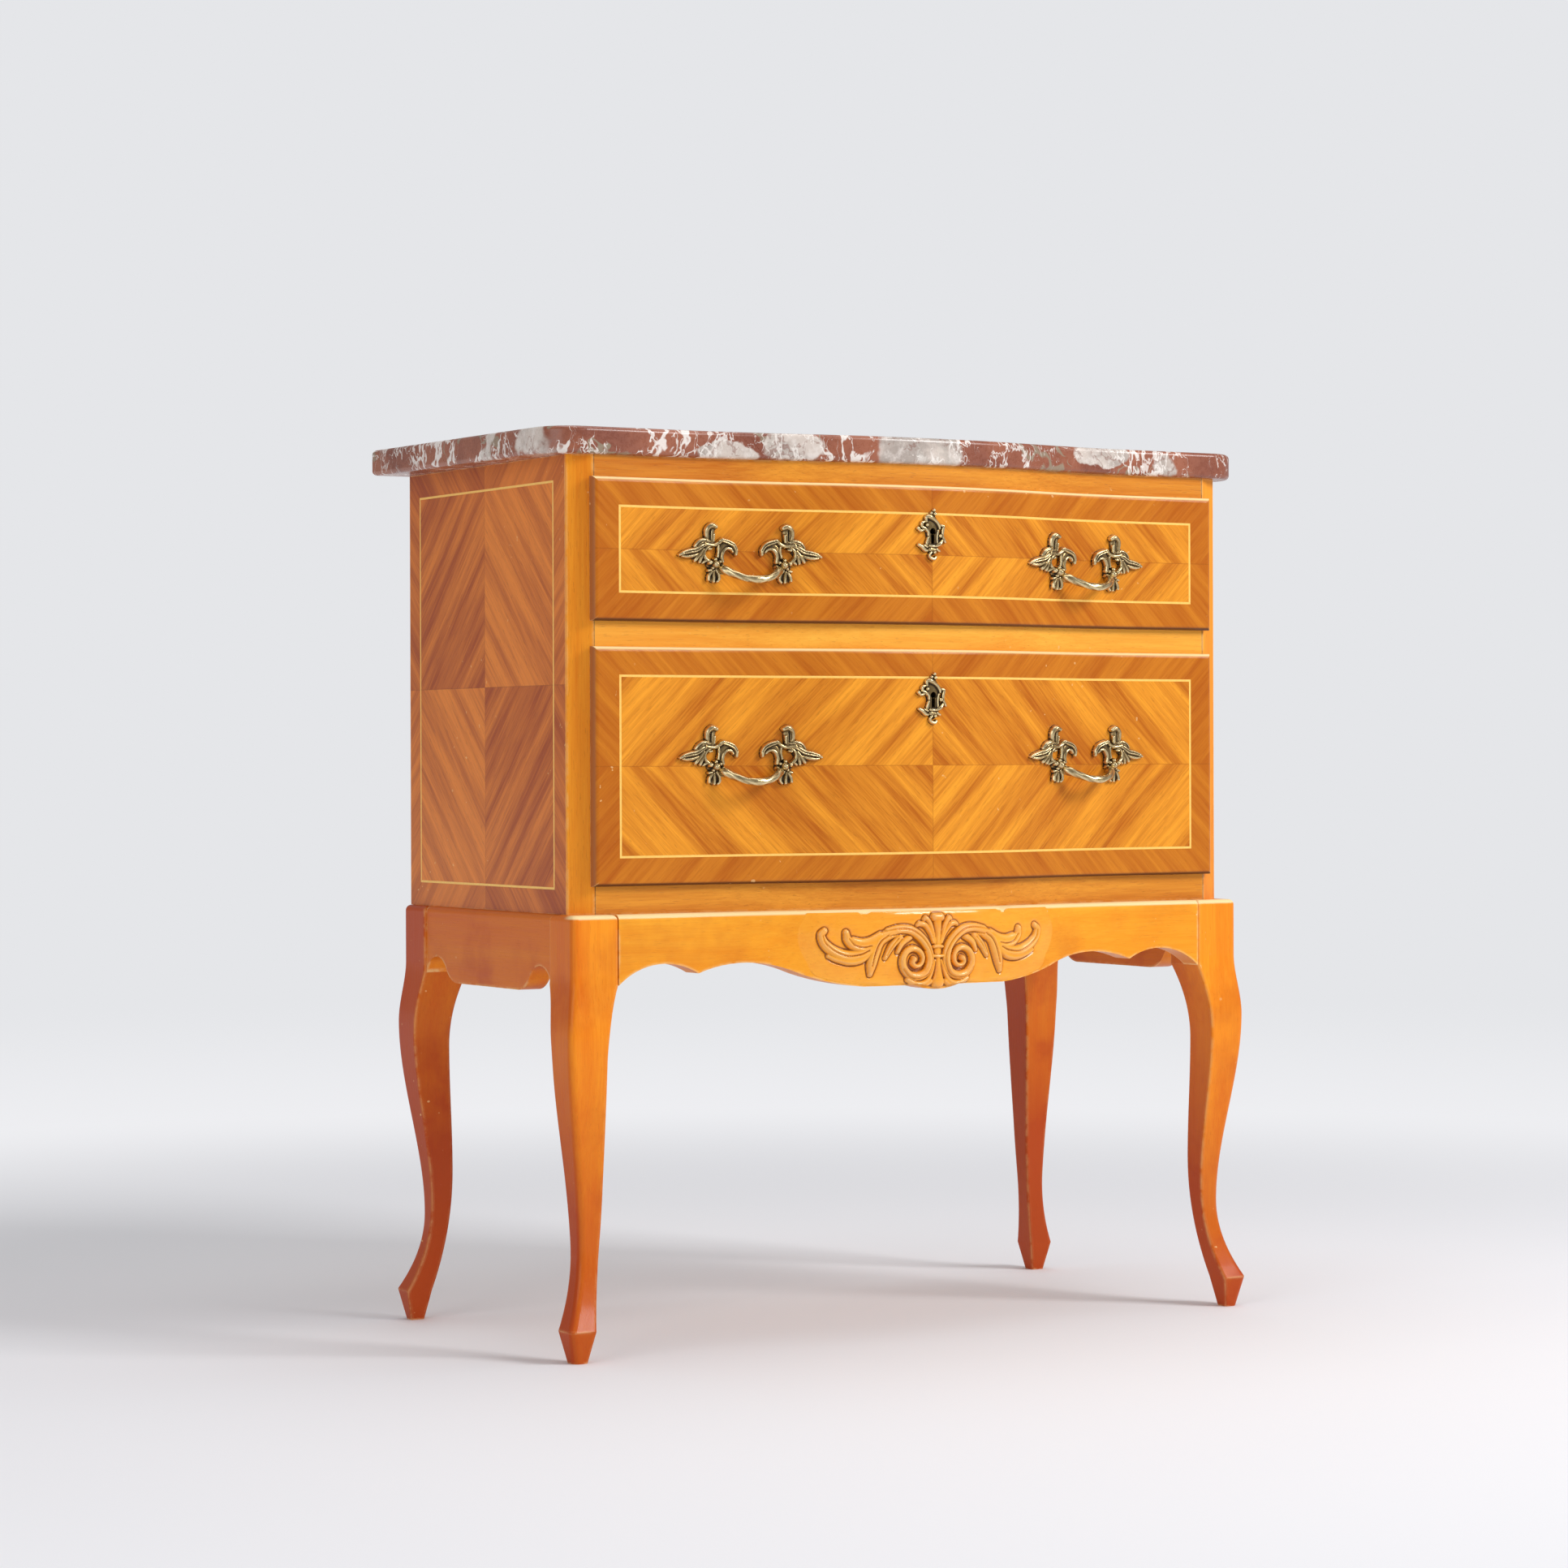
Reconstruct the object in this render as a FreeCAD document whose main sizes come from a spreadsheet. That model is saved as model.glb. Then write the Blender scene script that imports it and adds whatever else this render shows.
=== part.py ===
import FreeCAD, Part
import os
import re
import Sketcher

Vector = FreeCAD.Vector

# Driving sizes in millimetres: name, value, meaning.
SIZES = (
    ("case_back", 172.67, "origin to the back of the case and the stand"),
    ("case_width", 669, "outside of one side panel to the outside of the other"),
    ("side_thickness", 20, "veneered side panel"),
    ("side_depth", 301.5, "side panel from front to back"),
    ("stile_edge", 3, "edge of the corner stile that shows on the side"),
    ("cant_depth", 10.5, "front to back run of the canted corner"),
    ("base_height", 372, "floor to the top of the stand"),
    ("bottom_reveal", 23.5, "rail that shows under the lower drawer"),
    ("lower_front_height", 200.8, "lower drawer front"),
    ("middle_reveal", 21.4, "rail that shows between the drawers"),
    ("upper_front_height", 120.7, "upper drawer front"),
    ("top_reveal", 18.6, "rail that shows under the marble"),
    ("serpentine_span", 240, "centre of the front to where its curve runs flat"),
    ("serpentine_bulge", 25, "how far the centre stands before the flat ends"),
    ("rail_depth", 60, "rail from its flat front to its back edge"),
    ("back_thickness", 6, "back panel"),
    ("back_rebate", 8, "rebate in the side panel that holds the back panel"),
    ("back_rail_depth", 40, "rail under the marble at the back"),
    ("bottom_board", 12, "board that closes the case below"),
    ("runner_width", 24, "strip that a drawer side slides on"),
    ("stop_depth", 12, "block that stops the drawer at the back"),
    ("stop_height", 18, "block above its runner"),
    ("lip_overlap", 4, "drawer lip lapping over the frame"),
    ("lip_thickness", 8, "drawer lip in front of the frame"),
    ("front_thickness", 20, "whole drawer front"),
    ("lip_gap", 0.3, "shut drawer lip to the frame"),
    ("edge_round", 4.5, "rounded edge of the drawer front"),
    ("side_gap", 1, "drawer side to the case side"),
    ("seat_gap", 0.3, "sliding piece to its seat"),
    ("headroom", 2, "drawer side to the rail above"),
    ("drawer_side", 12, "drawer side board"),
    ("drawer_back", 10, "drawer back board"),
    ("drawer_back_drop", 6, "drawer back below the top of its sides"),
    ("drawer_bottom", 5, "drawer bottom board"),
    ("groove_depth", 5, "groove that holds the drawer bottom"),
    ("groove_rise", 9, "lower edge of the drawer side to the groove"),
    ("groove_gap", 0.2, "drawer bottom to its groove"),
    ("slab_thickness", 23, "marble"),
    ("slab_round", 4, "rounded edge of the marble"),
    ("slab_front_overhang", 6, "marble in front of the rails"),
    ("slab_back_overhang", 8.2, "marble behind the case"),
    ("slab_side_overhang", 33, "marble past the case at its back corners"),
    ("slab_taper", 10, "marble narrower at its front corners than at the back"),
    ("slab_corner", 34, "rounded front corner of the marble"),
    ("side_ledge", 7.6, "stand past the side of the case"),
    ("front_ledge", 13, "stand in front of the rails"),
    ("stand_round", 5, "rounded top edge of the stand"),
    ("leg_block", 43.4, "square top of the leg"),
    ("outer_arris", 6, "rounded outer corner of the leg"),
    ("leg_arris", 2.5, "softened other corners of the leg"),
    ("shoulder_drop", 50, "top of the stand to where the outer knee curve starts"),
    ("arch_foot_drop", 59, "top of the stand to where an apron meets the leg"),
    ("knee_swell", 5, "knee outside the block"),
    ("ankle_setback", 12, "ankle inside the face of the block"),
    ("toe_swell", 6, "toe outside the block"),
    ("toe_side", 25, "square section at the toe"),
    ("foot_side", 13.5, "square pad on the floor"),
    ("thigh_depth", 31, "face of the block to the inner face at the end of the knee curve"),
    ("calf_depth", 33, "face of the block to the inner face of the calf"),
    ("apron_thickness", 22, "front apron"),
    ("plain_apron_thickness", 20, "side and rear aprons"),
    ("apron_setback", 2, "side and rear aprons behind the face of the legs"),
    ("tenon_length", 16, "tenon on an apron"),
    ("tenon_thickness", 8, "tenon on an apron"),
    ("tenon_height", 34, "tenon on an apron"),
    ("tenon_drop", 10, "top of the stand to the tenon"),
    ("tenon_inset", 13, "face of the leg to the middle of the tenon"),
    ("mortise_gap", 0.2, "tenon to its mortise"),
    ("arch_drop", 42, "top of the stand to the top of the front apron's arches"),
    ("cusp_drop", 51, "top of the stand to the cusp between two arches"),
    ("belly_drop", 66, "top of the stand to the low belly of the front apron"),
    ("pendant_drop", 70, "top of the stand to the small pendant in the middle"),
    ("pendant_width", 46, "pendant across"),
    ("side_arch_drop", 44, "top of the stand to the top of the side apron's arches"),
    ("side_step_drop", 56, "top of the stand to the step beside the side arches"),
    ("side_belly_drop", 66, "top of the stand to the low middle of the side apron"),
    ("brace_side", 62, "corner brace along each apron"),
    ("brace_height", 26, "corner brace"),
    ("wood_screw", 4.5, "screw that holds the case on the stand"),
    ("wood_screw_head", 9, "head of that screw"),
    ("wood_screw_head_depth", 3, "head of that screw"),
    ("wood_screw_grip", 9, "screw inside the case bottom"),
    ("screw_gap", 0.2, "screw to its hole"),
    ("handle_screws", 64, "one handle screw to the other"),
    ("upper_handle_rise", 48.8, "lower edge of the upper front to its handle screws"),
    ("lower_handle_rise", 99.8, "lower edge of the lower front to its handle screws"),
    ("rosette_reach", 34.5, "handle screw to the tip of the leaf"),
    ("rosette_stand", 6.5, "drawer face to the front of the leaf plate, at the screw"),
    ("post_diameter", 9, "round end of the handle's post"),
    ("post_reach", 7.5, "drawer face to the middle of that round end"),
    ("bail_diameter", 6.4, "grip of the handle"),
    ("bail_span", 49, "the grip where it leaves one leaf plate to where it leaves the other"),
    ("bail_seat", 7.5, "drawer face to the grip there"),
    ("bail_fall", 4.5, "handle screws down to the grip there"),
    ("bail_drop", 8.7, "from there down to the middle of the grip"),
    ("bail_reach", 13.5, "from there forward to the middle of the grip"),
    ("fitting_gap", 0.2, "metal fitting to the curved face behind it"),
    ("handle_screw", 4, "machine screw"),
    ("handle_screw_head", 8, "head of that screw"),
    ("handle_screw_head_depth", 2.4, "head of that screw"),
    ("handle_screw_grip", 7, "screw inside the post"),
    ("screw_recess", 1.5, "flat sunk in the curved inside for a screw head"),
    ("plate_height", 44.6, "escutcheon"),
    ("plate_thickness", 2.6, "escutcheon"),
    ("key_drop", 43.7, "top edge of a drawer front to the middle of its keyhole"),
    ("key_bore", 5.6, "round part of the keyhole"),
    ("key_slot", 3.4, "slot of the keyhole"),
    ("key_height", 13.3, "whole keyhole"),
    ("lock_width", 42, "lock case"),
    ("lock_height", 50, "lock case"),
    ("lock_depth", 11, "lock case"),
    ("lock_flange", 12, "flange on each side of the lock case"),
    ("lock_plate", 2.5, "flange and top plate of the lock"),
    ("lock_recess", 1, "flat recess for the lock in the curved drawer front"),
    ("bolt_width", 20, "lock bolt"),
    ("bolt_thickness", 4.6, "lock bolt"),
    ("bolt_length", 24, "lock bolt"),
    ("bolt_throw", 7, "travel of the lock bolt"),
    ("bolt_gap", 0.3, "bolt to its guide and to the mortise above"),
    ("lock_screw", 3, "lock screw"),
    ("lock_screw_head", 6, "lock screw head"),
    ("lock_screw_head_depth", 1.6, "lock screw head"),
    ("lock_screw_grip", 8, "lock screw inside the drawer front"),
    ("overrun", 30, "how far a cut runs past what it cuts"),
)

doc = FreeCAD.newDocument("commode_chest")
sheet = doc.addObject("Spreadsheet::Sheet", "Sizes")
for row, (alias, value, meaning) in enumerate(SIZES, start=1):
    sheet.set(f"A{row}", alias)
    sheet.set(f"B{row}", str(value))
    sheet.setAlias(f"B{row}", alias)
    sheet.set(f"C{row}", meaning)
doc.recompute()

ALIASES = {alias for alias, value, meaning in SIZES}
NODES = []
FORWARD = Vector(1, 0, 0)

# Places worked out from the driving sizes. X is to the right, Y to the back, Z up from the floor.
OPENING = "(case_width / 2 - side_thickness)"
FRAME_FRONT = "(case_back - side_depth - stile_edge - cant_depth)"
LIP_FRONT = f"({FRAME_FRONT} - lip_gap - lip_thickness)"
FRONT_INSIDE = f"({LIP_FRONT} + front_thickness)"
RAIL_BACK = f"({FRAME_FRONT} + rail_depth)"
BACK_INSIDE = "(case_back - back_thickness)"
DRAWER_REAR = f"({BACK_INSIDE} - stop_depth - seat_gap)"
LOWER_BOTTOM = "(base_height + bottom_reveal)"
LOWER_TOP = f"({LOWER_BOTTOM} + lower_front_height)"
UPPER_BOTTOM = f"({LOWER_TOP} + middle_reveal)"
UPPER_TOP = f"({UPPER_BOTTOM} + upper_front_height)"
CASE_TOP = f"({UPPER_TOP} + top_reveal)"
LOCK_FACE = f"({FRONT_INSIDE} - serpentine_bulge - lock_recess)"
BOLT_MIDDLE = f"({LOCK_FACE} + lock_plate + lock_depth / 2)"
STAND_HALF = "(case_width / 2 + side_ledge)"
STAND_FRONT = f"({FRAME_FRONT} - front_ledge)"
STAND_MIDDLE = f"(({STAND_FRONT} + case_back) / 2)"
APRON_HALF = f"({STAND_HALF} - leg_block)"
ARCH_FOOT = "(base_height - arch_foot_drop)"
ARCH = "(base_height - arch_drop)"
CUSP = "(base_height - cusp_drop)"
BELLY = "(base_height - belly_drop)"
PENDANT = "(base_height - pendant_drop)"
SIDE_ARCH = "(base_height - side_arch_drop)"
SIDE_STEP = "(base_height - side_step_drop)"
SIDE_BELLY = "(base_height - side_belly_drop)"
handle_share = 0.55
HANDLE_PLACE = f"({OPENING} * {handle_share})"
RADIUS = "((serpentine_span^2 + serpentine_bulge^2) / (4 * serpentine_bulge))"
QUARTER_BOW = f"({RADIUS} - sqrt({RADIUS}^2 - serpentine_span^2 / 16))"


def tied(formula):
    """A formula in size names, as the document's expressions read it."""
    return re.sub(r"[a-z_]+", lambda word: "Sizes." + word[0] if word[0] in ALIASES else word[0], formula)


def worth(formula):
    """The number that a formula in size names comes to."""
    return float(sheet.evalExpression(formula))


def bind(thing, **formulas):
    """Tie properties of a document object to formulas; two underscores stand for a dot."""
    for name, formula in formulas.items():
        thing.setExpression(name.replace("__", "."), tied(formula))


def put(thing, x="0", y="0", z="0"):
    """Tie the place of a document object to formulas."""
    bind(thing, Placement__Base__x=x, Placement__Base__y=y, Placement__Base__z=z)
    return thing


def node(label, thing):
    """Keep an object as a finished piece under its own name."""
    thing.Label = label
    NODES.append((label, thing))
    return thing


def board(label, low, high):
    """A squared board between two corners given as formulas."""
    box = doc.addObject("Part::Box", label)
    spans = [f"({top}) - ({bottom})" for bottom, top in zip(low, high)]
    bind(box, Length=spans[0], Width=spans[1], Height=spans[2])
    return put(box, *low)


def rod(label, diameter, length, start, turn_axis=None):
    """A round bar from start: upward, or forward when it is turned about the FORWARD axis."""
    bar = doc.addObject("Part::Cylinder", label)
    if turn_axis:
        bar.Placement = FreeCAD.Placement(Vector(), FreeCAD.Rotation(turn_axis, 90))
    bind(bar, Radius=f"({diameter}) / 2", Height=length)
    return put(bar, *start)


def cut(label, base, *tools):
    """A piece with other shapes taken out of it."""
    for number, tool in enumerate(tools):
        piece = doc.addObject("Part::Cut", f"{label}_cut_{number}")
        piece.Base = base
        piece.Tool = tool
        base = piece
    return base


def joined(label, *shapes):
    """Shapes fused into one solid, or grouped where they don't touch."""
    union = doc.addObject("Part::MultiFuse", label + "_joined")
    union.Shapes = list(shapes)
    return union


def mirrored(label, source, normal=Vector(1, 0, 0), base_y="0"):
    """A mirror image, across the middle of the chest unless another plane is given."""
    image = doc.addObject("Part::Mirroring", label + "_mirrored")
    image.Source = source
    image.Normal = normal
    bind(image, Base__y=base_y)
    return image


def dimension(sketch, kind, geometry, point, formula):
    """Tie one coordinate of a sketch point to a formula."""
    index = sketch.addConstraint(Sketcher.Constraint(kind, geometry, point, worth(formula)))
    sketch.setExpression(f"Constraints[{index}]", tied(formula))


def outline(body, plane, path, lift="0"):
    """A closed sketch on one plane of a body.

    Each entry of path is a corner, two formulas, reached by a straight line from the entry before it;
    two more formulas are a point that an arc to that corner passes through.
    """
    sketch = body.newObject("Sketcher::SketchObject", body.Name + "_outline")
    support = next(item for item in body.Origin.OriginFeatures if item.Role == plane)
    sketch.AttachmentSupport = [(support, "")]
    sketch.MapMode = "FlatFace"
    bind(sketch, AttachmentOffset__Base__z=lift)
    corners = [Vector(worth(entry[0]), worth(entry[1])) for entry in path]
    ends = []
    for number, entry in enumerate(path):
        start = corners[number - 1]
        end = corners[number]
        if len(entry) == 2:
            line = sketch.addGeometry(Part.LineSegment(start, end))
            ends.append((line, 1, 2))
            continue
        through = Vector(worth(entry[2]), worth(entry[3]))
        leftward = (through - start).cross(end - through).z > 0
        arc_points = (start, through, end) if leftward else (end, through, start)
        arc = sketch.addGeometry(Part.Arc(*arc_points))
        ends.append((arc, 1, 2) if leftward else (arc, 2, 1))
        mark = sketch.addGeometry(Part.Point(through), True)
        sketch.addConstraint(Sketcher.Constraint("PointOnObject", mark, 1, arc))
        dimension(sketch, "DistanceX", mark, 1, entry[2])
        dimension(sketch, "DistanceY", mark, 1, entry[3])
    for number, entry in enumerate(path):
        piece, first, last = ends[number]
        following, next_first, next_last = ends[(number + 1) % len(path)]
        sketch.addConstraint(Sketcher.Constraint("Coincident", piece, last, following, next_first))
        dimension(sketch, "DistanceX", piece, last, entry[0])
        dimension(sketch, "DistanceY", piece, last, entry[1])
    return sketch


def padded(label, plane, path, length, place=("0", "0", "0"), lift="0"):
    """A body of one outline carried straight along the normal of its plane."""
    body = doc.addObject("PartDesign::Body", label + "_body")
    add_pad(body, plane, path, length, lift)
    return put(body, *place)


def add_pad(body, plane, path, length, lift="0"):
    """One more padded outline on a body."""
    pad = body.newObject("PartDesign::Pad", body.Name + "_pad")
    pad.Profile = outline(body, plane, path, lift)
    bind(pad, Length=length)
    return pad


def rounded(body, radius, keep):
    """Round the edges of a body whose middle points pass a test in the body's own frame."""
    doc.recompute()
    base = body.Tip
    names = []
    for number, edge in enumerate(base.Shape.Edges, start=1):
        middle = edge.valueAt((edge.FirstParameter + edge.LastParameter) / 2)
        if keep(middle, edge):
            names.append(f"Edge{number}")
    fillet = body.newObject("PartDesign::Fillet", body.Name + "_round")
    fillet.Base = (base, names)
    bind(fillet, Radius=radius)
    return fillet


def serpentine_line(half_width, depth, sign):
    """Corners of the curved front line at a depth, left to right where sign is empty, or right to left."""
    back = "" if sign else "-"
    half_way = f"{depth} - serpentine_bulge / 2"
    quarter_way = f"{depth} - {QUARTER_BOW}"
    return [
        (f"{back}{half_width}", depth),
        (f"{back}serpentine_span", depth),
        (f"{back}serpentine_span / 2", half_way, f"{back}3 * serpentine_span / 4", quarter_way),
        (f"{sign}serpentine_span / 2", half_way, "0", f"{depth} - serpentine_bulge"),
        (f"{sign}serpentine_span", depth, f"{sign}3 * serpentine_span / 4", quarter_way),
        (f"{sign}{half_width}", depth),
    ]


def serpentine_plate(half_width, near, far, curved_back=True):
    """The plan of a piece with the curved front and a back that follows it or is straight."""
    front = serpentine_line(half_width, near, "")
    straight = [(half_width, far), (f"-{half_width}", far)]
    return front + (serpentine_line(half_width, far, "-") if curved_back else straight)


def serpentine(label, half_width, depth, front, low, high, curved_back=False):
    """A piece with the curved front, and a straight back or one that follows the front."""
    path = serpentine_plate(half_width, "0", depth, curved_back)
    return padded(label, "XY_Plane", path, f"({high}) - ({low})", ("0", front, low))


def front_stand(x):
    """A formula for how far the curved front stands before its flat ends, x from the middle."""
    flank = f"({RADIUS} - sqrt({RADIUS}^2 - (serpentine_span - {x})^2))"
    crown = f"(serpentine_bulge - {RADIUS} + sqrt({RADIUS}^2 - {x}^2))"
    return f"({x} > serpentine_span ? 0 : ({x} > serpentine_span / 2 ? {flank} : {crown}))"


def on_front_line(point):
    """Whether a point of a curved plate, in its own frame, lies on its front line."""
    return abs(point.y + worth(front_stand(f"{abs(point.x):.6f}"))) < worth("fitting_gap") / 2


def case_frame(screw_holes):
    """Side panels, canted stiles, rails, back, bottom and the strips that carry the drawers."""
    back = board("back_panel", (f"-({OPENING} + back_rebate)", BACK_INSIDE, "base_height"),
                 (f"{OPENING} + back_rebate", "case_back", CASE_TOP))
    node("back_panel", back)
    panel = board("left_panel_blank", ("-case_width / 2", "case_back - side_depth", "base_height"),
                  (f"-{OPENING}", "case_back", CASE_TOP))
    left = node("left_side_panel", cut("left_side_panel", panel, back))
    node("right_side_panel", mirrored("right_side_panel", left))
    cant = [
        (f"-{OPENING}", "0"),
        (f"-{OPENING}", "cant_depth + stile_edge"),
        ("-case_width / 2", "cant_depth + stile_edge"),
        ("-case_width / 2", "cant_depth"),
    ]
    height = f"{CASE_TOP} - base_height"
    stile = node("left_corner_stile",
                 padded("left_corner_stile", "XY_Plane", cant, height, ("0", FRAME_FRONT, "base_height")))
    node("right_corner_stile", mirrored("right_corner_stile", stile))
    bottom = serpentine("bottom_rail", OPENING, "rail_depth", FRAME_FRONT,
                        "base_height", f"{LOWER_BOTTOM} + lip_overlap")
    node("bottom_rail", cut("bottom_rail", bottom, *screw_holes))
    floor = board("case_bottom_blank", (f"-{OPENING}", RAIL_BACK, "base_height"),
                  (OPENING, BACK_INSIDE, "base_height + bottom_board"))
    node("case_bottom", cut("case_bottom", floor, *screw_holes))
    middle = serpentine("middle_rail", OPENING, "rail_depth", FRAME_FRONT,
                        f"{LOWER_TOP} - lip_overlap", f"{UPPER_BOTTOM} + lip_overlap")
    node("middle_rail", cut("middle_rail", middle, bolt_mortise("lower", f"{LOWER_TOP} - lip_overlap")))
    top = serpentine("top_rail", OPENING, "rail_depth", FRAME_FRONT, f"{UPPER_TOP} - lip_overlap", CASE_TOP)
    node("top_rail", cut("top_rail", top, bolt_mortise("upper", f"{UPPER_TOP} - lip_overlap")))
    back_rail_front = f"{BACK_INSIDE} - back_rail_depth"
    back_rail = board("top_back_rail", (f"-{OPENING}", back_rail_front, f"{UPPER_TOP} - lip_overlap"),
                      (OPENING, BACK_INSIDE, CASE_TOP))
    node("top_back_rail", back_rail)
    strips = (
        ("lower_runner", "base_height + bottom_board", f"{LOWER_BOTTOM} + lip_overlap", BACK_INSIDE),
        ("upper_runner", f"{LOWER_TOP} - lip_overlap", f"{UPPER_BOTTOM} + lip_overlap", BACK_INSIDE),
        ("kicker", f"{UPPER_TOP} - lip_overlap", CASE_TOP, back_rail_front),
    )
    for name, low, high, rear in strips:
        strip = node("left_" + name, board("left_" + name, (f"-{OPENING}", RAIL_BACK, low),
                                           (f"runner_width - {OPENING}", rear, high)))
        node("right_" + name, mirrored("right_" + name, strip))
    stops = []
    for name, low in (("lower", LOWER_BOTTOM), ("upper", UPPER_BOTTOM)):
        seat = f"({low} + lip_overlap)"
        stop = board(name + "_stop", (f"-{OPENING}", f"{BACK_INSIDE} - stop_depth", seat),
                     (f"runner_width - {OPENING}", BACK_INSIDE, f"{seat} + stop_height"))
        stops += [stop, mirrored(name + "_stop", stop)]
    node("drawer_stops", joined("drawer_stops", *stops))


def bolt_mortise(drawer, underside):
    """The hole above a lock that its bolt rises into."""
    half = "(bolt_width / 2 + bolt_gap)"
    depth = "(bolt_thickness / 2 + bolt_gap)"
    reach = f"{underside} - headroom + bolt_throw + bolt_gap"
    return board(drawer + "_bolt_mortise", (f"-{half}", f"{BOLT_MIDDLE} - {depth}", f"{underside} - overrun"),
                 (half, f"{BOLT_MIDDLE} + {depth}", reach))


def marble():
    """The slab: curved front, rounded front corners, sides that widen towards the back, rounded edges."""
    depth = f"({FRAME_FRONT} - slab_front_overhang)"
    rear = f"(case_back + slab_back_overhang - {depth})"
    wide = "(case_width / 2 + slab_side_overhang)"
    narrow = f"({wide} - slab_taper)"
    inset = "(slab_corner * (1 - sqrt(2) / 2))"
    front = serpentine_line(f"({narrow} - slab_corner)", "0", "")
    right = [
        (narrow, "slab_corner", f"{narrow} - {inset}", inset),
        (wide, rear),
    ]
    left = [
        (f"-{wide}", rear),
        (f"-{narrow}", "slab_corner"),
    ]
    start = [(f"-({narrow} - slab_corner)", "0", f"-({narrow} - {inset})", inset)]
    path = start + front[1:] + right + left
    slab = padded("marble_top", "XY_Plane", path, "slab_thickness", ("0", depth, CASE_TOP))
    level = worth("slab_thickness / 2")
    rounded(slab, "slab_round", lambda point, edge: abs(abs(point.z - level) - level) < worth("fitting_gap"))
    node("marble_top", slab)


def leg_face():
    """The outline that is sawn on two faces of a leg, with its outer face on zero.

    Outside: block, knee, ankle, toe. Inside: pad, toe, calf, thigh, arch, block.
    """
    block = -worth("leg_block")
    top = worth("base_height")
    shoulder = worth("base_height - shoulder_drop")
    arch = worth(ARCH_FOOT)
    knee_share = 0.72
    thigh_share = 0.66
    calf_share = 0.363
    ankle_share = 0.26
    toe_share = 0.0726
    knee = knee_share * top
    thigh = thigh_share * top
    calf = calf_share * top
    ankle = ankle_share * top
    toe = toe_share * top
    knee_out = worth("knee_swell")
    ankle_out = -worth("ankle_setback")
    toe_out = worth("toe_swell")
    toe_in = worth("toe_swell - toe_side")
    thigh_in = -worth("thigh_depth")
    calf_in = -worth("calf_depth")
    foot_in = -worth("foot_side")
    sway_share = 1 / 3
    bend_share = 1 / 2

    def part_way(start, end, share):
        return start + share * (end - start)

    def sway(out, height, next_out, next_height):
        """A curve that leaves one point and reaches the next straight up and down."""
        leave = (out, part_way(height, next_height, sway_share))
        arrive = (next_out, part_way(next_height, height, sway_share))
        return [(out, height), leave, arrive, (next_out, next_height)]

    curves = [
        [(0, top), (0, shoulder)],
        sway(0, shoulder, knee_out, knee),
        sway(knee_out, knee, ankle_out, ankle),
        [(ankle_out, ankle), (ankle_out, part_way(ankle, toe, bend_share)), (toe_out, toe)],
        [(toe_out, toe), (0, 0)],
        [(0, 0), (foot_in, 0)],
        [(foot_in, 0), (toe_in, toe)],
        [(toe_in, toe), (calf_in, part_way(toe, calf, bend_share)), (calf_in, calf)],
        sway(calf_in, calf, thigh_in, thigh),
        [(thigh_in, thigh), (thigh_in, part_way(thigh, arch, bend_share)), (block, arch)],
        [(block, arch), (block, top)],
        [(block, top), (0, top)],
    ]
    edges = []
    for poles in curves:
        points = [Vector(out, 0, height) for out, height in poles]
        if len(points) == 2:
            edges.append(Part.LineSegment(*points).toShape())
            continue
        curve = Part.BezierCurve()
        curve.setPoles(points)
        edges.append(curve.toShape())
    return Part.Face(Part.Wire(edges))


def leg_shape():
    """A leg sawn to the same outline on two faces, then eased at its long corners and its top."""
    face = leg_face()
    reach = worth("leg_block + toe_swell + overrun")
    spare = worth("overrun")
    first = face.translated(Vector(0, -reach, 0)).extrude(Vector(0, reach + spare, 0))
    turned = face.rotated(Vector(), Vector(0, 0, 1), 90)
    second = turned.translated(Vector(-reach, 0, 0)).extrude(Vector(reach + spare, 0, 0))
    leg = first.common(second).removeSplitter().Solids[0]
    rise = worth("foot_side")
    tall = [edge for edge in leg.Edges if edge.BoundBox.ZLength > rise]
    middle = -worth("foot_side")
    tolerance = worth("mortise_gap")

    def diagonal(edge):
        return abs(edge.CenterOfMass.x - edge.CenterOfMass.y) < tolerance

    outer = [edge for edge in tall if diagonal(edge) and edge.CenterOfMass.x > middle]
    others = [edge for edge in tall if not (diagonal(edge) and edge.CenterOfMass.x > middle)]
    leg = leg.makeFillet(worth("outer_arris"), outer)
    places = [edge.CenterOfMass for edge in others]
    matching = []
    for edge in leg.Edges:
        if any((edge.CenterOfMass - place).Length < tolerance for place in places):
            matching.append(edge)
    leg = leg.makeFillet(worth("leg_arris"), matching)
    top = worth("base_height")
    outside_share = 1 / 4
    outside = -outside_share * worth("leg_block")

    def outside_top(edge):
        centre = edge.CenterOfMass
        return edge.BoundBox.ZMin > top - tolerance and max(centre.x, centre.y) > outside

    return leg.makeFillet(worth("stand_round"), [edge for edge in leg.Edges if outside_top(edge)])


def tongue(label, along_x, end, face, side, gap="0"):
    """A tenon past an apron's end, to the right or the back; with a gap it is the mortise for it."""
    half = f"(tenon_thickness / 2 + {gap})"
    middle = f"({face} + {side} * tenon_inset)"
    top = "(base_height - tenon_drop)"
    along = (end, f"{end} + tenon_length + {gap}")
    across = (f"{middle} - {half}", f"{middle} + {half}")
    upward = (f"{top} - tenon_height - {gap}", f"{top} + {gap}")
    spans = (along, across, upward) if along_x else (across, along, upward)
    low, high = zip(*spans)
    return board(label, low, high)


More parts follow.
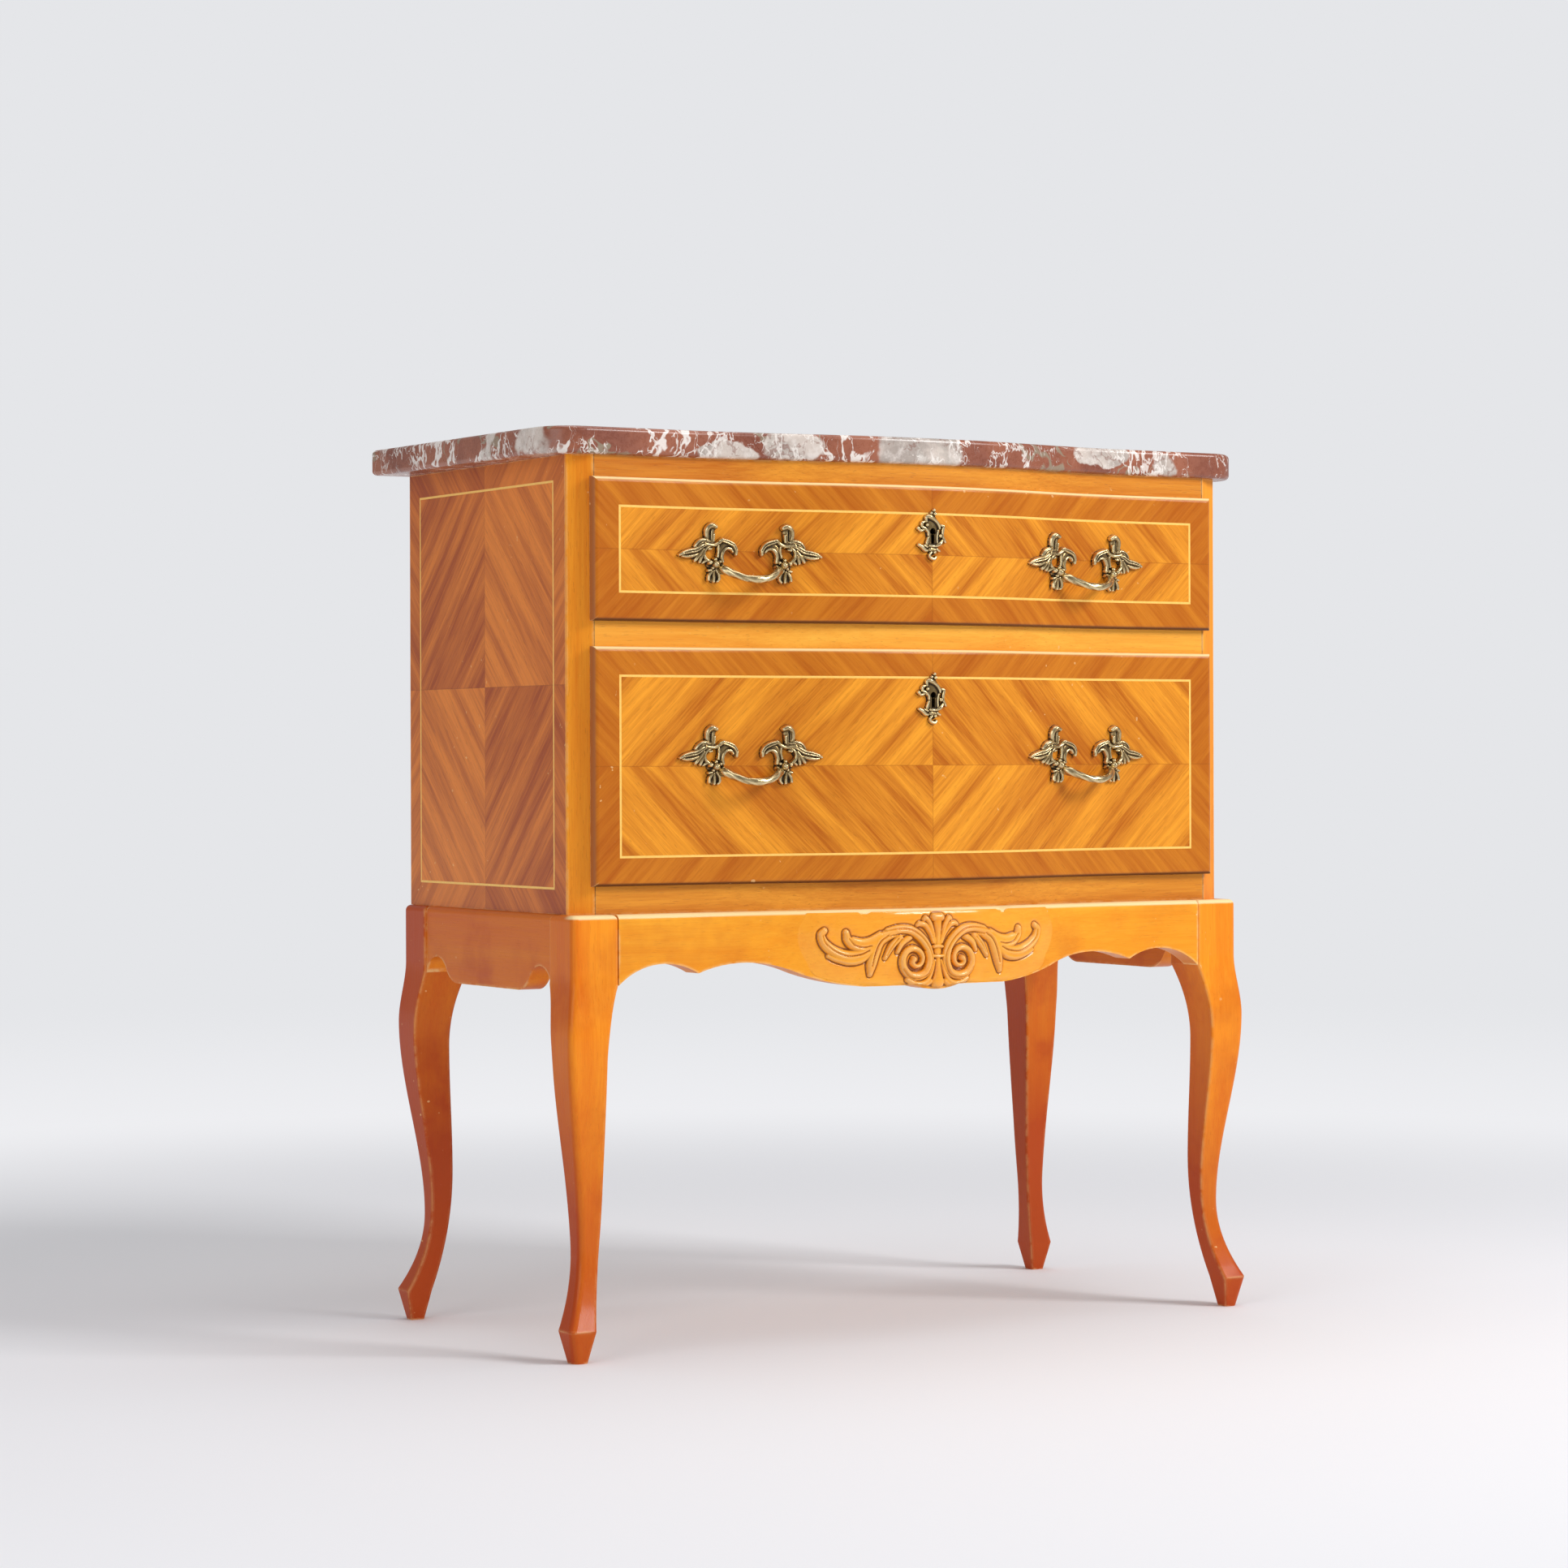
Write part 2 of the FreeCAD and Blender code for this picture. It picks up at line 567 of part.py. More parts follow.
def front_apron_underside():
    """The right half of the wavy lower edge of the front apron, from the leg to the pendant."""
    arch_share = 0.86
    cusp_share = 0.745
    inner_share = 0.62
    inner_rise_share = 0.95
    turn_share = 0.43
    turn_rise_share = 0.5
    flank_share = 0.335
    flank_rise_share = 0.17
    belly_share = 0.24

    def along(share):
        return f"{APRON_HALF} * {share}"

    def rise(share):
        return f"{BELLY} + {share} * ({ARCH} - {BELLY})"

    return [
        (along(cusp_share), CUSP, along(arch_share), ARCH),
        (along(turn_share), rise(turn_rise_share), along(inner_share), rise(inner_rise_share)),
        (along(belly_share), BELLY, along(flank_share), rise(flank_rise_share)),
        ("pendant_width / 2", BELLY),
    ]


def front_apron():
    """The curved front apron with its wavy lower edge and a small pendant."""
    blank = serpentine("front_apron", APRON_HALF, "apron_thickness", STAND_FRONT,
                       PENDANT, "base_height", curved_back=True)
    top = worth("pendant_drop - fitting_gap")
    rounded(blank, "stand_round", lambda point, edge: point.z > top and on_front_line(point))
    half = front_apron_underside()
    right = [(APRON_HALF, ARCH_FOOT)] + half
    pendant_left = ("-pendant_width / 2", BELLY, "0", PENDANT)
    left = []
    for number in range(len(half) - 1, -1, -1):
        target = right[number]
        entry = half[number]
        bow = (f"-({entry[2]})", entry[3]) if len(entry) == 4 else ()
        left.append((f"-({target[0]})", target[1]) + bow)
    floor = f"{PENDANT} - overrun"
    edges = [(f"-({APRON_HALF} + overrun)", floor), (f"{APRON_HALF} + overrun", floor),
             (f"{APRON_HALF} + overrun", ARCH_FOOT)]
    below = edges + right + [pendant_left] + left + [(f"-({APRON_HALF} + overrun)", ARCH_FOOT)]
    waste = padded("front_apron_waste", "XZ_Plane", below, "apron_thickness + serpentine_bulge + 2 * overrun",
                   ("0", f"{STAND_FRONT} + apron_thickness + overrun", "0"))
    return cut("front_apron", blank, waste)


def side_apron():
    """The left apron with an arch beside each leg and a low middle."""
    half = f"(({STAND_FRONT} + leg_block - case_back + leg_block) / -2)"
    arch_share = 0.84
    step_share = 0.66
    flank_share = 0.58
    flank_rise_share = 0.25
    belly_share = 0.5
    flank_rise = f"{SIDE_BELLY} + {flank_rise_share} * ({SIDE_STEP} - {SIDE_BELLY})"
    rear = [
        (half, ARCH_FOOT),
        (f"{half} * {step_share}", SIDE_STEP, f"{half} * {arch_share}", SIDE_ARCH),
        (f"{half} * {belly_share}", SIDE_BELLY, f"{half} * {flank_share}", flank_rise),
    ]
    front = [
        (f"-{half} * {belly_share}", SIDE_BELLY),
        (f"-{half} * {step_share}", SIDE_STEP, f"-{half} * {flank_share}", flank_rise),
        (f"-{half}", ARCH_FOOT, f"-{half} * {arch_share}", SIDE_ARCH),
    ]
    path = [(f"-{half}", "base_height"), (half, "base_height")] + rear + front
    left = f"apron_setback - {STAND_HALF}"
    body = padded("left_apron", "YZ_Plane", path, "plain_apron_thickness", (left, STAND_MIDDLE, "0"))
    top = worth("base_height")
    tolerance = worth("fitting_gap")
    rounded(body, "stand_round", lambda point, edge: point.z > top - tolerance and abs(point.x) < tolerance)
    return body


def stand():
    """Four cabriole legs and four aprons tenoned into them."""
    leg = doc.addObject("Part::Feature", "leg_blank")
    leg.Shape = leg_shape()
    put(leg, STAND_HALF, "case_back")
    side_end = "(case_back - leg_block)"
    rear_mortise = tongue("rear_mortise", True, APRON_HALF, "case_back", "-1", "mortise_gap")
    side_mortise = tongue("side_mortise", False, side_end, STAND_HALF, "-1", "mortise_gap")
    rear_right = node("rear_right_leg", cut("rear_right_leg", leg, rear_mortise, side_mortise))
    node("rear_left_leg", mirrored("rear_left_leg", rear_right))
    front_right = node("front_right_leg",
                       mirrored("front_right_leg", rear_right, Vector(0, 1, 0), STAND_MIDDLE))
    node("front_left_leg", mirrored("front_left_leg", front_right))
    front_tenon = tongue("front_tenon", True, APRON_HALF, STAND_FRONT, "1")
    front_tenons = [front_tenon, mirrored("front_tenon", front_tenon)]
    node("front_apron", joined("front_apron", front_apron(), *front_tenons))
    left_tenon = mirrored("side_tenon", tongue("side_tenon", False, side_end, STAND_HALF, "-1"))
    fore_tenon = mirrored("side_fore_tenon", left_tenon, Vector(0, 1, 0), STAND_MIDDLE)
    left_apron = node("left_apron", joined("left_apron", side_apron(), left_tenon, fore_tenon))
    node("right_apron", mirrored("right_apron", left_apron))
    rear_face = "case_back - apron_setback"
    plain = board("rear_apron", (f"-{APRON_HALF}", f"{rear_face} - plain_apron_thickness", ARCH_FOOT),
                  (APRON_HALF, rear_face, "base_height"))
    rear_tenon = tongue("rear_tenon", True, APRON_HALF, "case_back", "-1")
    node("rear_apron", joined("rear_apron", plain, rear_tenon, mirrored("rear_tenon", rear_tenon)))


def braces_and_screws():
    """Corner braces glued inside the stand, and a screw up through each into the case bottom."""
    side_inside = f"({STAND_HALF} - apron_setback - plain_apron_thickness)"
    brace_low = "base_height - brace_height"
    corners = (
        ("front", f"({STAND_FRONT} + apron_thickness)", "1", f"({STAND_FRONT} + leg_block)"),
        ("rear", "(case_back - apron_setback - plain_apron_thickness)", "-1", "(case_back - leg_block)"),
    )
    braces = []
    screws = []
    holes = []
    for name, inside, inward, block_face in corners:
        path = [
            (APRON_HALF, inside),
            (f"{side_inside} - brace_side", inside),
            (side_inside, f"{inside} + {inward} * brace_side"),
            (side_inside, block_face),
            (APRON_HALF, block_face),
        ]
        brace = padded(name + "_brace", "XY_Plane", path, "brace_height", ("0", "0", brace_low))
        x = f"(({side_inside} - brace_side / 2 + {APRON_HALF}) / 2 - leg_arris)"
        y = f"(({inside} + {block_face} + {inward} * brace_side / 2) / 2 + {inward} * leg_arris)"
        length = "brace_height + wood_screw_grip"
        hole = rod(name + "_brace_hole", "wood_screw + 2 * screw_gap", f"{length} + screw_gap",
                   (x, y, brace_low))
        shank = rod(name + "_brace_shank", "wood_screw", length, (x, y, brace_low))
        head = rod(name + "_brace_head", "wood_screw_head", "wood_screw_head_depth",
                   (x, y, f"{brace_low} - wood_screw_head_depth"))
        screw = joined(name + "_brace_screw", shank, head)
        brace = cut(name + "_brace", brace, hole)
        braces += [brace, mirrored(name + "_brace", brace)]
        screws += [screw, mirrored(name + "_brace_screw", screw)]
        holes += [hole, mirrored(name + "_brace_hole", hole)]
    node("corner_braces", joined("corner_braces", *braces))
    node("base_screws", joined("base_screws", *screws))
    return holes


ROSETTE_SHARES = (
    # Leaf tip, upper leaf edge, top curl, inner curl, neck, lower volute, lower leaf edge.
    (0.35, 0.49, 0.68, 0.42),
    (0.26, 0.62, 0.28, 0.54),
    (0.10, 0.95, 0.33, 0.84),
    (-0.08, 0.68, -0.09, 0.88),
    (-0.24, 0.60),
    (-0.57, 0.32, -0.50, 0.54),
    (-0.33, 0.30, -0.46, 0.24),
    (-0.20, 0.02, -0.22, 0.19),
    (-0.06, -0.45, -0.23, -0.28),
    (0.25, -0.18, 0.16, -0.44),
    (0.32, 0.02),
    (1.00, 0.20, 0.70, 0.02),
)

PLATE_SHARES = (
    # Clockwise from the top bead, as shares of the escutcheon's height, about the middle of the keyhole.
    (0.07, 0.44, 0.06, 0.51),
    (0.18, 0.17, 0.15, 0.32),
    (0.28, 0.17),
    (0.25, -0.05, 0.24, 0.06),
    (0.14, -0.24, 0.24, -0.17),
    (0.09, -0.40, 0.17, -0.33),
    (-0.04, -0.42, 0.02, -0.48),
    (-0.10, -0.30, -0.09, -0.36),
    (-0.34, -0.19, -0.24, -0.28),
    (-0.17, -0.17, -0.26, -0.14),
    (-0.22, 0.06, -0.14, -0.04),
    (-0.34, 0.12, -0.30, 0.06),
    (-0.19, 0.27, -0.29, 0.23),
    (-0.06, 0.44, -0.17, 0.38),
    (-0.01, 0.49, -0.04, 0.48),
)


def from_shares(shares, size, centre_x="0", centre_y="0", side="1"):
    """An outline whose corners and arc points are shares of one size about a centre."""
    path = []
    for entry in shares:
        across = [f"{centre_x} + {side} * ({share}) * {size}" for share in entry[0::2]]
        upward = [f"{centre_y} + ({share}) * {size}" for share in entry[1::2]]
        path.append(tuple(formula for pair in zip(across, upward) for formula in pair))
    return path


def at_handle(thing, screws_z):
    """Set what is made about a handle's middle on the right half of a face, square to the curve there."""
    inner = front_stand(f"({HANDLE_PLACE} - handle_screws / 2)")
    outer = front_stand(f"({HANDLE_PLACE} + handle_screws / 2)")
    thing.Placement = FreeCAD.Placement(Vector(), FreeCAD.Rotation(Vector(0, 0, 1), 1))
    bind(thing, Placement__Rotation__Angle=f"atan(({inner} - {outer}) / handle_screws)")
    return put(thing, HANDLE_PLACE, f"{LIP_FRONT} - ({inner} + {outer}) / 2", screws_z)


def bowed_grip(label):
    """The grip: a round bar on an arc that hangs forward and down, and runs back through both leaf plates."""
    sag = "sqrt(bail_drop^2 + bail_reach^2)"
    radius = f"((bail_span^2 / 4 + {sag}^2) / (2 * {sag}))"
    body = doc.addObject("PartDesign::Body", label + "_grip")
    sketch = body.newObject("Sketcher::SketchObject", label + "_grip_section")
    support = next(item for item in body.Origin.OriginFeatures if item.Role == "YZ_Plane")
    sketch.AttachmentSupport = [(support, "")]
    sketch.MapMode = "FlatFace"
    centre = Vector(0, -worth(radius))
    circle = sketch.addGeometry(Part.Circle(centre, Vector(0, 0, 1), worth("bail_diameter / 2")))
    index = sketch.addConstraint(Sketcher.Constraint("Radius", circle, worth("bail_diameter / 2")))
    sketch.setExpression(f"Constraints[{index}]", tied("bail_diameter / 2"))
    dimension(sketch, "DistanceX", circle, 3, "0")
    dimension(sketch, "DistanceY", circle, 3, f"-{radius}")
    turn = body.newObject("PartDesign::Revolution", label + "_grip_turn")
    turn.Profile = sketch
    turn.ReferenceAxis = (sketch, ["H_Axis"])
    turn.Midplane = True
    bind(turn, Angle=f"2 * asin(bail_span / 2 / {radius}) + 2 * atan((bail_seat + bail_diameter) / {radius})")
    body.Placement = FreeCAD.Placement(Vector(), FreeCAD.Rotation(Vector(-1, 0, 0), 1))
    bind(body, Placement__Rotation__Angle="atan(bail_reach / bail_drop)")
    lift = f"(({radius} - {sag}) / {sag})"
    return put(body, "0", f"{lift} * bail_reach - bail_seat", f"{lift} * bail_drop - bail_fall")


def handle_pair(drawer, screws_z):
    """Two cast handles of a drawer, their screws, and the holes that the screws need in its front."""
    name = f"{drawer}_right_handle"
    pieces = [bowed_grip(name)]
    shanks = []
    heads = []
    holes = []
    seat = "(front_thickness - screw_recess)"
    for place, side in (("inner", "-1"), ("outer", "1")):
        label = f"{name}_{place}"
        centre = f"({side} * handle_screws / 2)"
        path = from_shares(ROSETTE_SHARES, "rosette_reach", centre, "0", side)
        leaf = padded(label + "_leaf", "XZ_Plane", path, "2 * rosette_stand", ("0", "rosette_stand", "0"))
        pieces.append(leaf)
        pieces.append(rod(label + "_post", "post_diameter", "post_reach", (centre, "0", "0"), FORWARD))
        knob = doc.addObject("Part::Sphere", label + "_knob")
        bind(knob, Radius="post_diameter / 2")
        pieces.append(put(knob, centre, "-post_reach", "0"))
        length = f"({seat} + handle_screw_grip)"
        shanks.append(rod(label + "_shank", "handle_screw", length, (centre, seat, "0"), FORWARD))
        heads.append(rod(label + "_head", "handle_screw_head", "handle_screw_head_depth",
                         (centre, f"{seat} + handle_screw_head_depth", "0"), FORWARD))
        holes.append(rod(label + "_hole", "handle_screw + 2 * screw_gap", f"{length} + screw_gap",
                         (centre, seat, "0"), FORWARD))
        holes.append(rod(label + "_recess", "handle_screw_head + 2 * screw_gap", "overrun",
                         (centre, f"{seat} + overrun", "0"), FORWARD))
    hole = at_handle(joined(name + "_holes", *holes), screws_z)
    screws = at_handle(joined(name + "_screws", *shanks, *heads), screws_z)
    face = serpentine(name + "_face", f"({OPENING} + lip_overlap)", "front_thickness",
                      f"{LIP_FRONT} - fitting_gap", f"{screws_z} - 2 * rosette_reach",
                      f"{screws_z} + 2 * rosette_reach")
    casting = at_handle(joined(name, *pieces), screws_z)
    right = node(name, cut(name, casting, face, hole))
    node(f"{drawer}_left_handle", mirrored(f"{drawer}_left_handle", right))
    node(f"{drawer}_handle_screws",
         joined(f"{drawer}_handle_screws", screws, mirrored(f"{drawer}_handle_screws", screws)))
    return [hole, mirrored(f"{drawer}_handle_holes", hole)]


def keyhole(drawer, key_z):
    """A keyhole right through the escutcheon and the drawer front into the lock."""
    slot = "key_slot / 2"
    foot = f"{key_z} - key_height / 2"
    neck = f"{key_z} + key_height / 2 - key_bore / 2 - sqrt(key_bore^2 - key_slot^2) / 2"
    path = [
        (slot, foot),
        (slot, neck),
        (f"-{slot}", neck, "0", f"{key_z} + key_height / 2"),
        (f"-{slot}", foot),
    ]
    length = "lock_depth + front_thickness + plate_thickness + overrun"
    return padded(drawer + "_keyhole", "XZ_Plane", path, length, ("0", f"{LOCK_FACE} + lock_depth", "0"))


def lock(drawer, front_top, hole):
    """A box lock behind the drawer front, its screws and its bolt; gives what the front is cut by."""
    top = f"({front_top} - lip_overlap - headroom)"
    low = f"{top} - lock_height"
    half = "lock_width / 2"
    wide = f"({half} + lock_flange)"
    box = board(drawer + "_lock_box", (f"-{half}", LOCK_FACE, low),
                (half, f"{LOCK_FACE} + lock_plate + lock_depth", top))
    flange = board(drawer + "_lock_flange", (f"-{wide}", LOCK_FACE, low),
                   (wide, f"{LOCK_FACE} + lock_plate", top))
    slide = "(bolt_width / 2 + bolt_gap)"
    thick = "(bolt_thickness / 2 + bolt_gap)"
    guide_foot = f"{top} - bolt_length - bolt_gap"
    guide = board(drawer + "_bolt_guide", (f"-{slide}", f"{BOLT_MIDDLE} - {thick}", guide_foot),
                  (slide, f"{BOLT_MIDDLE} + {thick}", f"{top} + overrun"))
    shanks = []
    heads = []
    holes = []
    height_shares = (0.2, 0.8)
    for share in height_shares:
        for side in ("-1", "1"):
            name = f"{drawer}_lock_{len(shanks)}"
            x = f"{side} * ({half} + lock_flange / 2)"
            y = f"{LOCK_FACE} + lock_plate"
            z = f"{top} - {share} * lock_height"
            length = "lock_plate + lock_screw_grip"
            shanks.append(rod(name + "_shank", "lock_screw", length, (x, y, z), FORWARD))
            heads.append(rod(name + "_head", "lock_screw_head", "lock_screw_head_depth",
                             (x, f"{y} + lock_screw_head_depth", z), FORWARD))
            holes.append(rod(name + "_hole", "lock_screw + 2 * screw_gap", f"{length} + screw_gap",
                             (x, y, z), FORWARD))
    screw_holes = joined(drawer + "_lock_holes", *holes)
    case = joined(drawer + "_lock_blank", box, flange)
    node(drawer + "_lock_case", cut(drawer + "_lock_case", case, guide, hole, screw_holes))
    node(drawer + "_lock_screws", joined(drawer + "_lock_screws", *shanks, *heads))
    bolt = board(drawer + "_lock_bolt",
                 ("-bolt_width / 2", f"{BOLT_MIDDLE} - bolt_thickness / 2", f"{top} - bolt_length"),
                 ("bolt_width / 2", f"{BOLT_MIDDLE} + bolt_thickness / 2", top))
    node(drawer + "_lock_bolt", bolt)
    recess = board(drawer + "_lock_recess", (f"-({wide} + screw_gap)", LOCK_FACE, f"{low} - screw_gap"),
                   (f"{wide} + screw_gap", f"{LOCK_FACE} + overrun", f"{top} + overrun"))
    return [recess, screw_holes, hole]


def drawer_front(drawer, low, high):
    """The curved front board: a lip with rounded edges, and behind it the part that fills the opening."""
    lip = f"({OPENING} + lip_overlap)"
    body = padded(drawer + "_front", "XY_Plane", serpentine_plate(lip, "0", "lip_thickness"),
                  f"{high} - {low}", ("0", LIP_FRONT, low))
    end = worth(lip)
    tolerance = worth("fitting_gap")

    def front_edge(point, edge):
        upright = edge.BoundBox.ZLength > tolerance
        return on_front_line(point) and (not upright or abs(point.x) > end - tolerance)

    rounded(body, "edge_round", front_edge)
    fill = serpentine_plate(f"({OPENING} - side_gap)", "lip_thickness", "front_thickness")
    add_pad(body, "XY_Plane", fill, f"{high} - {low} - 2 * lip_overlap - seat_gap - headroom",
            "lip_overlap + seat_gap")
    return body


def drawer_box(drawer, low, high):
    """Sides, back and bottom of a drawer; gives the groove for the bottom and names the pieces."""
    foot = f"({low} + lip_overlap + seat_gap)"
    top = f"({high} - lip_overlap - headroom)"
    outside = f"({OPENING} - side_gap)"
    inside = f"({outside} - drawer_side)"
    floor = f"({foot} + groove_rise)"
    board_top = f"({floor} + drawer_bottom)"
    edge = f"({FRONT_INSIDE} - groove_depth)"
    half = f"({inside} + groove_depth)"
    groove = serpentine(drawer + "_groove", half, f"{DRAWER_REAR} - {edge} + overrun", edge,
                        f"{floor} - groove_gap", f"{board_top} + groove_gap")
    panel = serpentine(drawer + "_panel", f"({half} - groove_gap)", f"{DRAWER_REAR} - {edge} - groove_gap",
                       f"{edge} + groove_gap", floor, board_top)
    node(drawer + "_drawer_bottom", panel)
    side = board(drawer + "_side", (f"-{outside}", FRONT_INSIDE, foot), (f"-{inside}", DRAWER_REAR, top))
    left = node(drawer + "_drawer_left_side", cut(drawer + "_side", side, groove))
    node(drawer + "_drawer_right_side", mirrored(drawer + "_right_side", left))
    back = board(drawer + "_back", (f"-{inside}", f"{DRAWER_REAR} - drawer_back", board_top),
                 (inside, DRAWER_REAR, f"{top} - drawer_back_drop"))
    node(drawer + "_drawer_back", back)
    return groove


def whole_drawer(name, low, high, handle_rise):
    """One whole drawer with its handles, escutcheon and lock."""
    key_z = f"({high} - key_drop)"
    hole = keyhole(name, key_z)
    plate = padded(name + "_escutcheon", "XZ_Plane", from_shares(PLATE_SHARES, "plate_height", "0", key_z),
                   "plate_thickness", ("0", f"{LIP_FRONT} - serpentine_bulge - fitting_gap", "0"))
    node(name + "_escutcheon", cut(name + "_escutcheon", plate, hole))
    tools = [drawer_box(name, low, high)]
    tools += handle_pair(name, f"({low} + {handle_rise})")
    tools += lock(name, high, hole)
    node(name + "_drawer_front", cut(name + "_drawer_front", drawer_front(name, low, high), *tools))


def check_document():
    """Stop before writing anything if a piece failed to build."""
    for thing in doc.Objects:
        if "Invalid" in thing.State or "Error" in thing.State:
            raise RuntimeError(f"{thing.Label} did not build: {thing.State}")
    for label, thing in NODES:
        if thing.Shape.isNull() or not thing.Shape.isValid():
            raise RuntimeError(f"{label} has no valid shape")


stand()
case_frame(braces_and_screws())
marble()
whole_drawer("lower", LOWER_BOTTOM, LOWER_TOP, "lower_handle_rise")
whole_drawer("upper", UPPER_BOTTOM, UPPER_TOP, "upper_handle_rise")
doc.recompute()
check_document()
os.makedirs("parts", exist_ok=True)
for label, thing in NODES:
    thing.Shape.exportStep(f"parts/{label}.step")
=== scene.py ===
import math

import bpy
import numpy as np
from bpy.props import FloatProperty, FloatVectorProperty, PointerProperty
from mathutils import Euler, Matrix, Vector


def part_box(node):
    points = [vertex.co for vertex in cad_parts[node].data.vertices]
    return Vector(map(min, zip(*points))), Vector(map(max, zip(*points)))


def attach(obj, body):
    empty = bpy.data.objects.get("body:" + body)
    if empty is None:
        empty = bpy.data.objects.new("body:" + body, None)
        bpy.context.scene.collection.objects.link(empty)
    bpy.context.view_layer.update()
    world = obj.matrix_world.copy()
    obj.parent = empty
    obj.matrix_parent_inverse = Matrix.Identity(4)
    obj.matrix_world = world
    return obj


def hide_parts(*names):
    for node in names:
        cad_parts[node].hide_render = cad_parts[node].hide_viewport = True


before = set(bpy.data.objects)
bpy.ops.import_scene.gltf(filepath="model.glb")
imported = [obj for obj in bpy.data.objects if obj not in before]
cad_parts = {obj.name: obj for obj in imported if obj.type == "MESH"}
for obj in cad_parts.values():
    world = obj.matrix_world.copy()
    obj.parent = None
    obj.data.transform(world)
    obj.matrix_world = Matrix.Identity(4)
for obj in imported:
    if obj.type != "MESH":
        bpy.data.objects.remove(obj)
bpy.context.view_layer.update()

bl_info = {
    "name": "Commode chest",
    "version": (1, 0, 0),
    "blender": (4, 5, 0),
    "location": "View3D > Sidebar > Chest",
    "description": "Veneer, marble, carving and cast fittings for the solids of a commode chest",
    "category": "Object",
}

MM = 0.001
DRAWERS = ("upper", "lower")
SIDES = {"left": -1, "right": 1}

# The curved front, as in the solids: arcs over half the span, one hollow and one round.
SPAN = 0.240
BULGE = 0.025
RADIUS = (SPAN ** 2 + BULGE ** 2) / (4 * BULGE)

# Where the fittings sit, as in the solids; the keyhole's own sizes are in millimetres.
HANDLE_PLACE = 0.172975
SCREW_REACH = 0.032
HANDLE_RISE = {"upper": 0.0488, "lower": 0.0998}
KEYHOLE_DROP = 0.0437
KEY_BORE = 2.8
KEY_SLOT = 1.7
KEY_HALF_HEIGHT = 6.65

# The camera, fitted to the chest's edges in the photograph: metres, degrees, and millimetres for the lens
# and the sensor.
CAMERA_PLACE = (-1.8892, -3.1186, 0.5015)
CAMERA_YAW = -30.58
CAMERA_ROLL = -0.198
CAMERA_LENS = 92.47
CAMERA_SENSOR = 36
CAMERA_SHIFT = -0.0158

# The veneer, in metres: its diamonds run at 45 degrees, its border and each of its quarters are cut from
# another depth of the wood, and the edges of its string are a little soft.
DIAGONAL = 0.7071
BORDER_DEPTH = 0.37
QUARTER_DEPTH = 0.003
STRING_BLUR = 0.00012
# Where a colour of the wood begins and where it is full, in metres: from a joint of the veneer, from the end
# of a rail, the heights over which the stand grows redder towards the floor, and the height and depth of the
# painted highlight on the ledge of the stand.
VENEER_JOINT = (0.0006, 0.0002)
RAIL_JOINT = (0.0014, 0.0004)
REDDENING_HEIGHTS = (0.3, 0.0)
LEDGE_HEIGHTS = (0.36, 0.365)
LEDGE_DEPTHS = (-0.136, -0.15)
# Lacquer on the shader, the radius within which it is worn off an arris, and how much rougher it is there.
SATIN = {"Coat_Roughness": 0.1, "Specular_IOR_Level": 0.15}
VENEER_ARRIS = 0.0016
WOOD_ARRIS = 0.0035
WORN_DULLING = 0.25
# Depths of the relief in a surface itself.
FINE_RELIEF = 0.00002
MIDDLE_RELIEF = 0.00004
COARSE_RELIEF = 0.00006
# The painted shade of a keyhole reaches this many millimetres past it.
KEY_MARGIN = 0.5

# An ornament's outermost points slide by at most this share of a step, on a squared slope of at least this.
RIM_SLIDE = 0.7
RIM_SLOPE = 0.25
# How an ornament's hollows are found: rounds of averaging and the share of its height that counts as deep,
# close by and further round. A groove leaves so many millimetres of height.
NEAR_HOLLOW = (10, 0.2)
WIDE_HOLLOW = (70, 0.3)
# On the carving the wide hollow is painted shade on the ground round the ornament, and the close one partly
# staining and partly painted shade; on the castings both are patina.
WIDE_SHARE = 0.35
GROOVE_FLOOR = 0.3

# The carving's height against its table, and in millimetres the edge of the swell round it and the groove
# along its outline.
CARVING_RELIEF = 1.3
CARVING_FADE = 3
CARVING_SHOULDER = 2
CARVING_OUTLINE = 1.8

# The stage, in metres: rings of the floor, where its surface fades into a glow, and where that glow takes the
# background's colour. A lamp has its setting, its place, the point that it lights and its size.
FLOOR_RINGS = (0.0, 1.0, 2.5, 5.0, 10.0, 20.0, 40.0)
FLOOR_SPOKES = 96
FLOOR_FADE = (0.9, 2.2)
FLOOR_TINT = (1.0, 5.0)
LAMPS = {
    "main_lamp": ("key", (1.9, -2.6, 2.5), (0, 0, 0.45), 1.3),
    "side_lamp": ("fill", (-2.8, -1.4, 1.5), (0, 0, 0.5), 1.8),
    "top_lamp": ("top", (0.2, 0.1, 3.2), (0, 0, 0.5), 2.0),
}


def tone(red, green, blue):
    """A colour written from 0 to 255 as shown on a screen, as linear light."""
    shown = np.array((red, green, blue)) / 255
    light = np.where(shown <= 0.04045, shown / 12.92, ((shown + 0.055) / 1.055) ** 2.4)
    return tuple(light.tolist())


def colour(name, red, green, blue):
    """A colour that the panel shows."""
    return FloatVectorProperty(name=name, description=f"Colour of the {name.lower()}", subtype="COLOR",
                               size=3, min=0, max=1, default=tone(red, green, blue))


def length(name, description, default):
    """A length in metres that the panel shows."""
    return FloatProperty(name=name, description=description, unit="LENGTH", precision=4, default=default)


def power(name, description, default):
    """A lamp's power in watts that the panel shows."""
    return FloatProperty(name=name, description=description, unit="POWER", default=default)


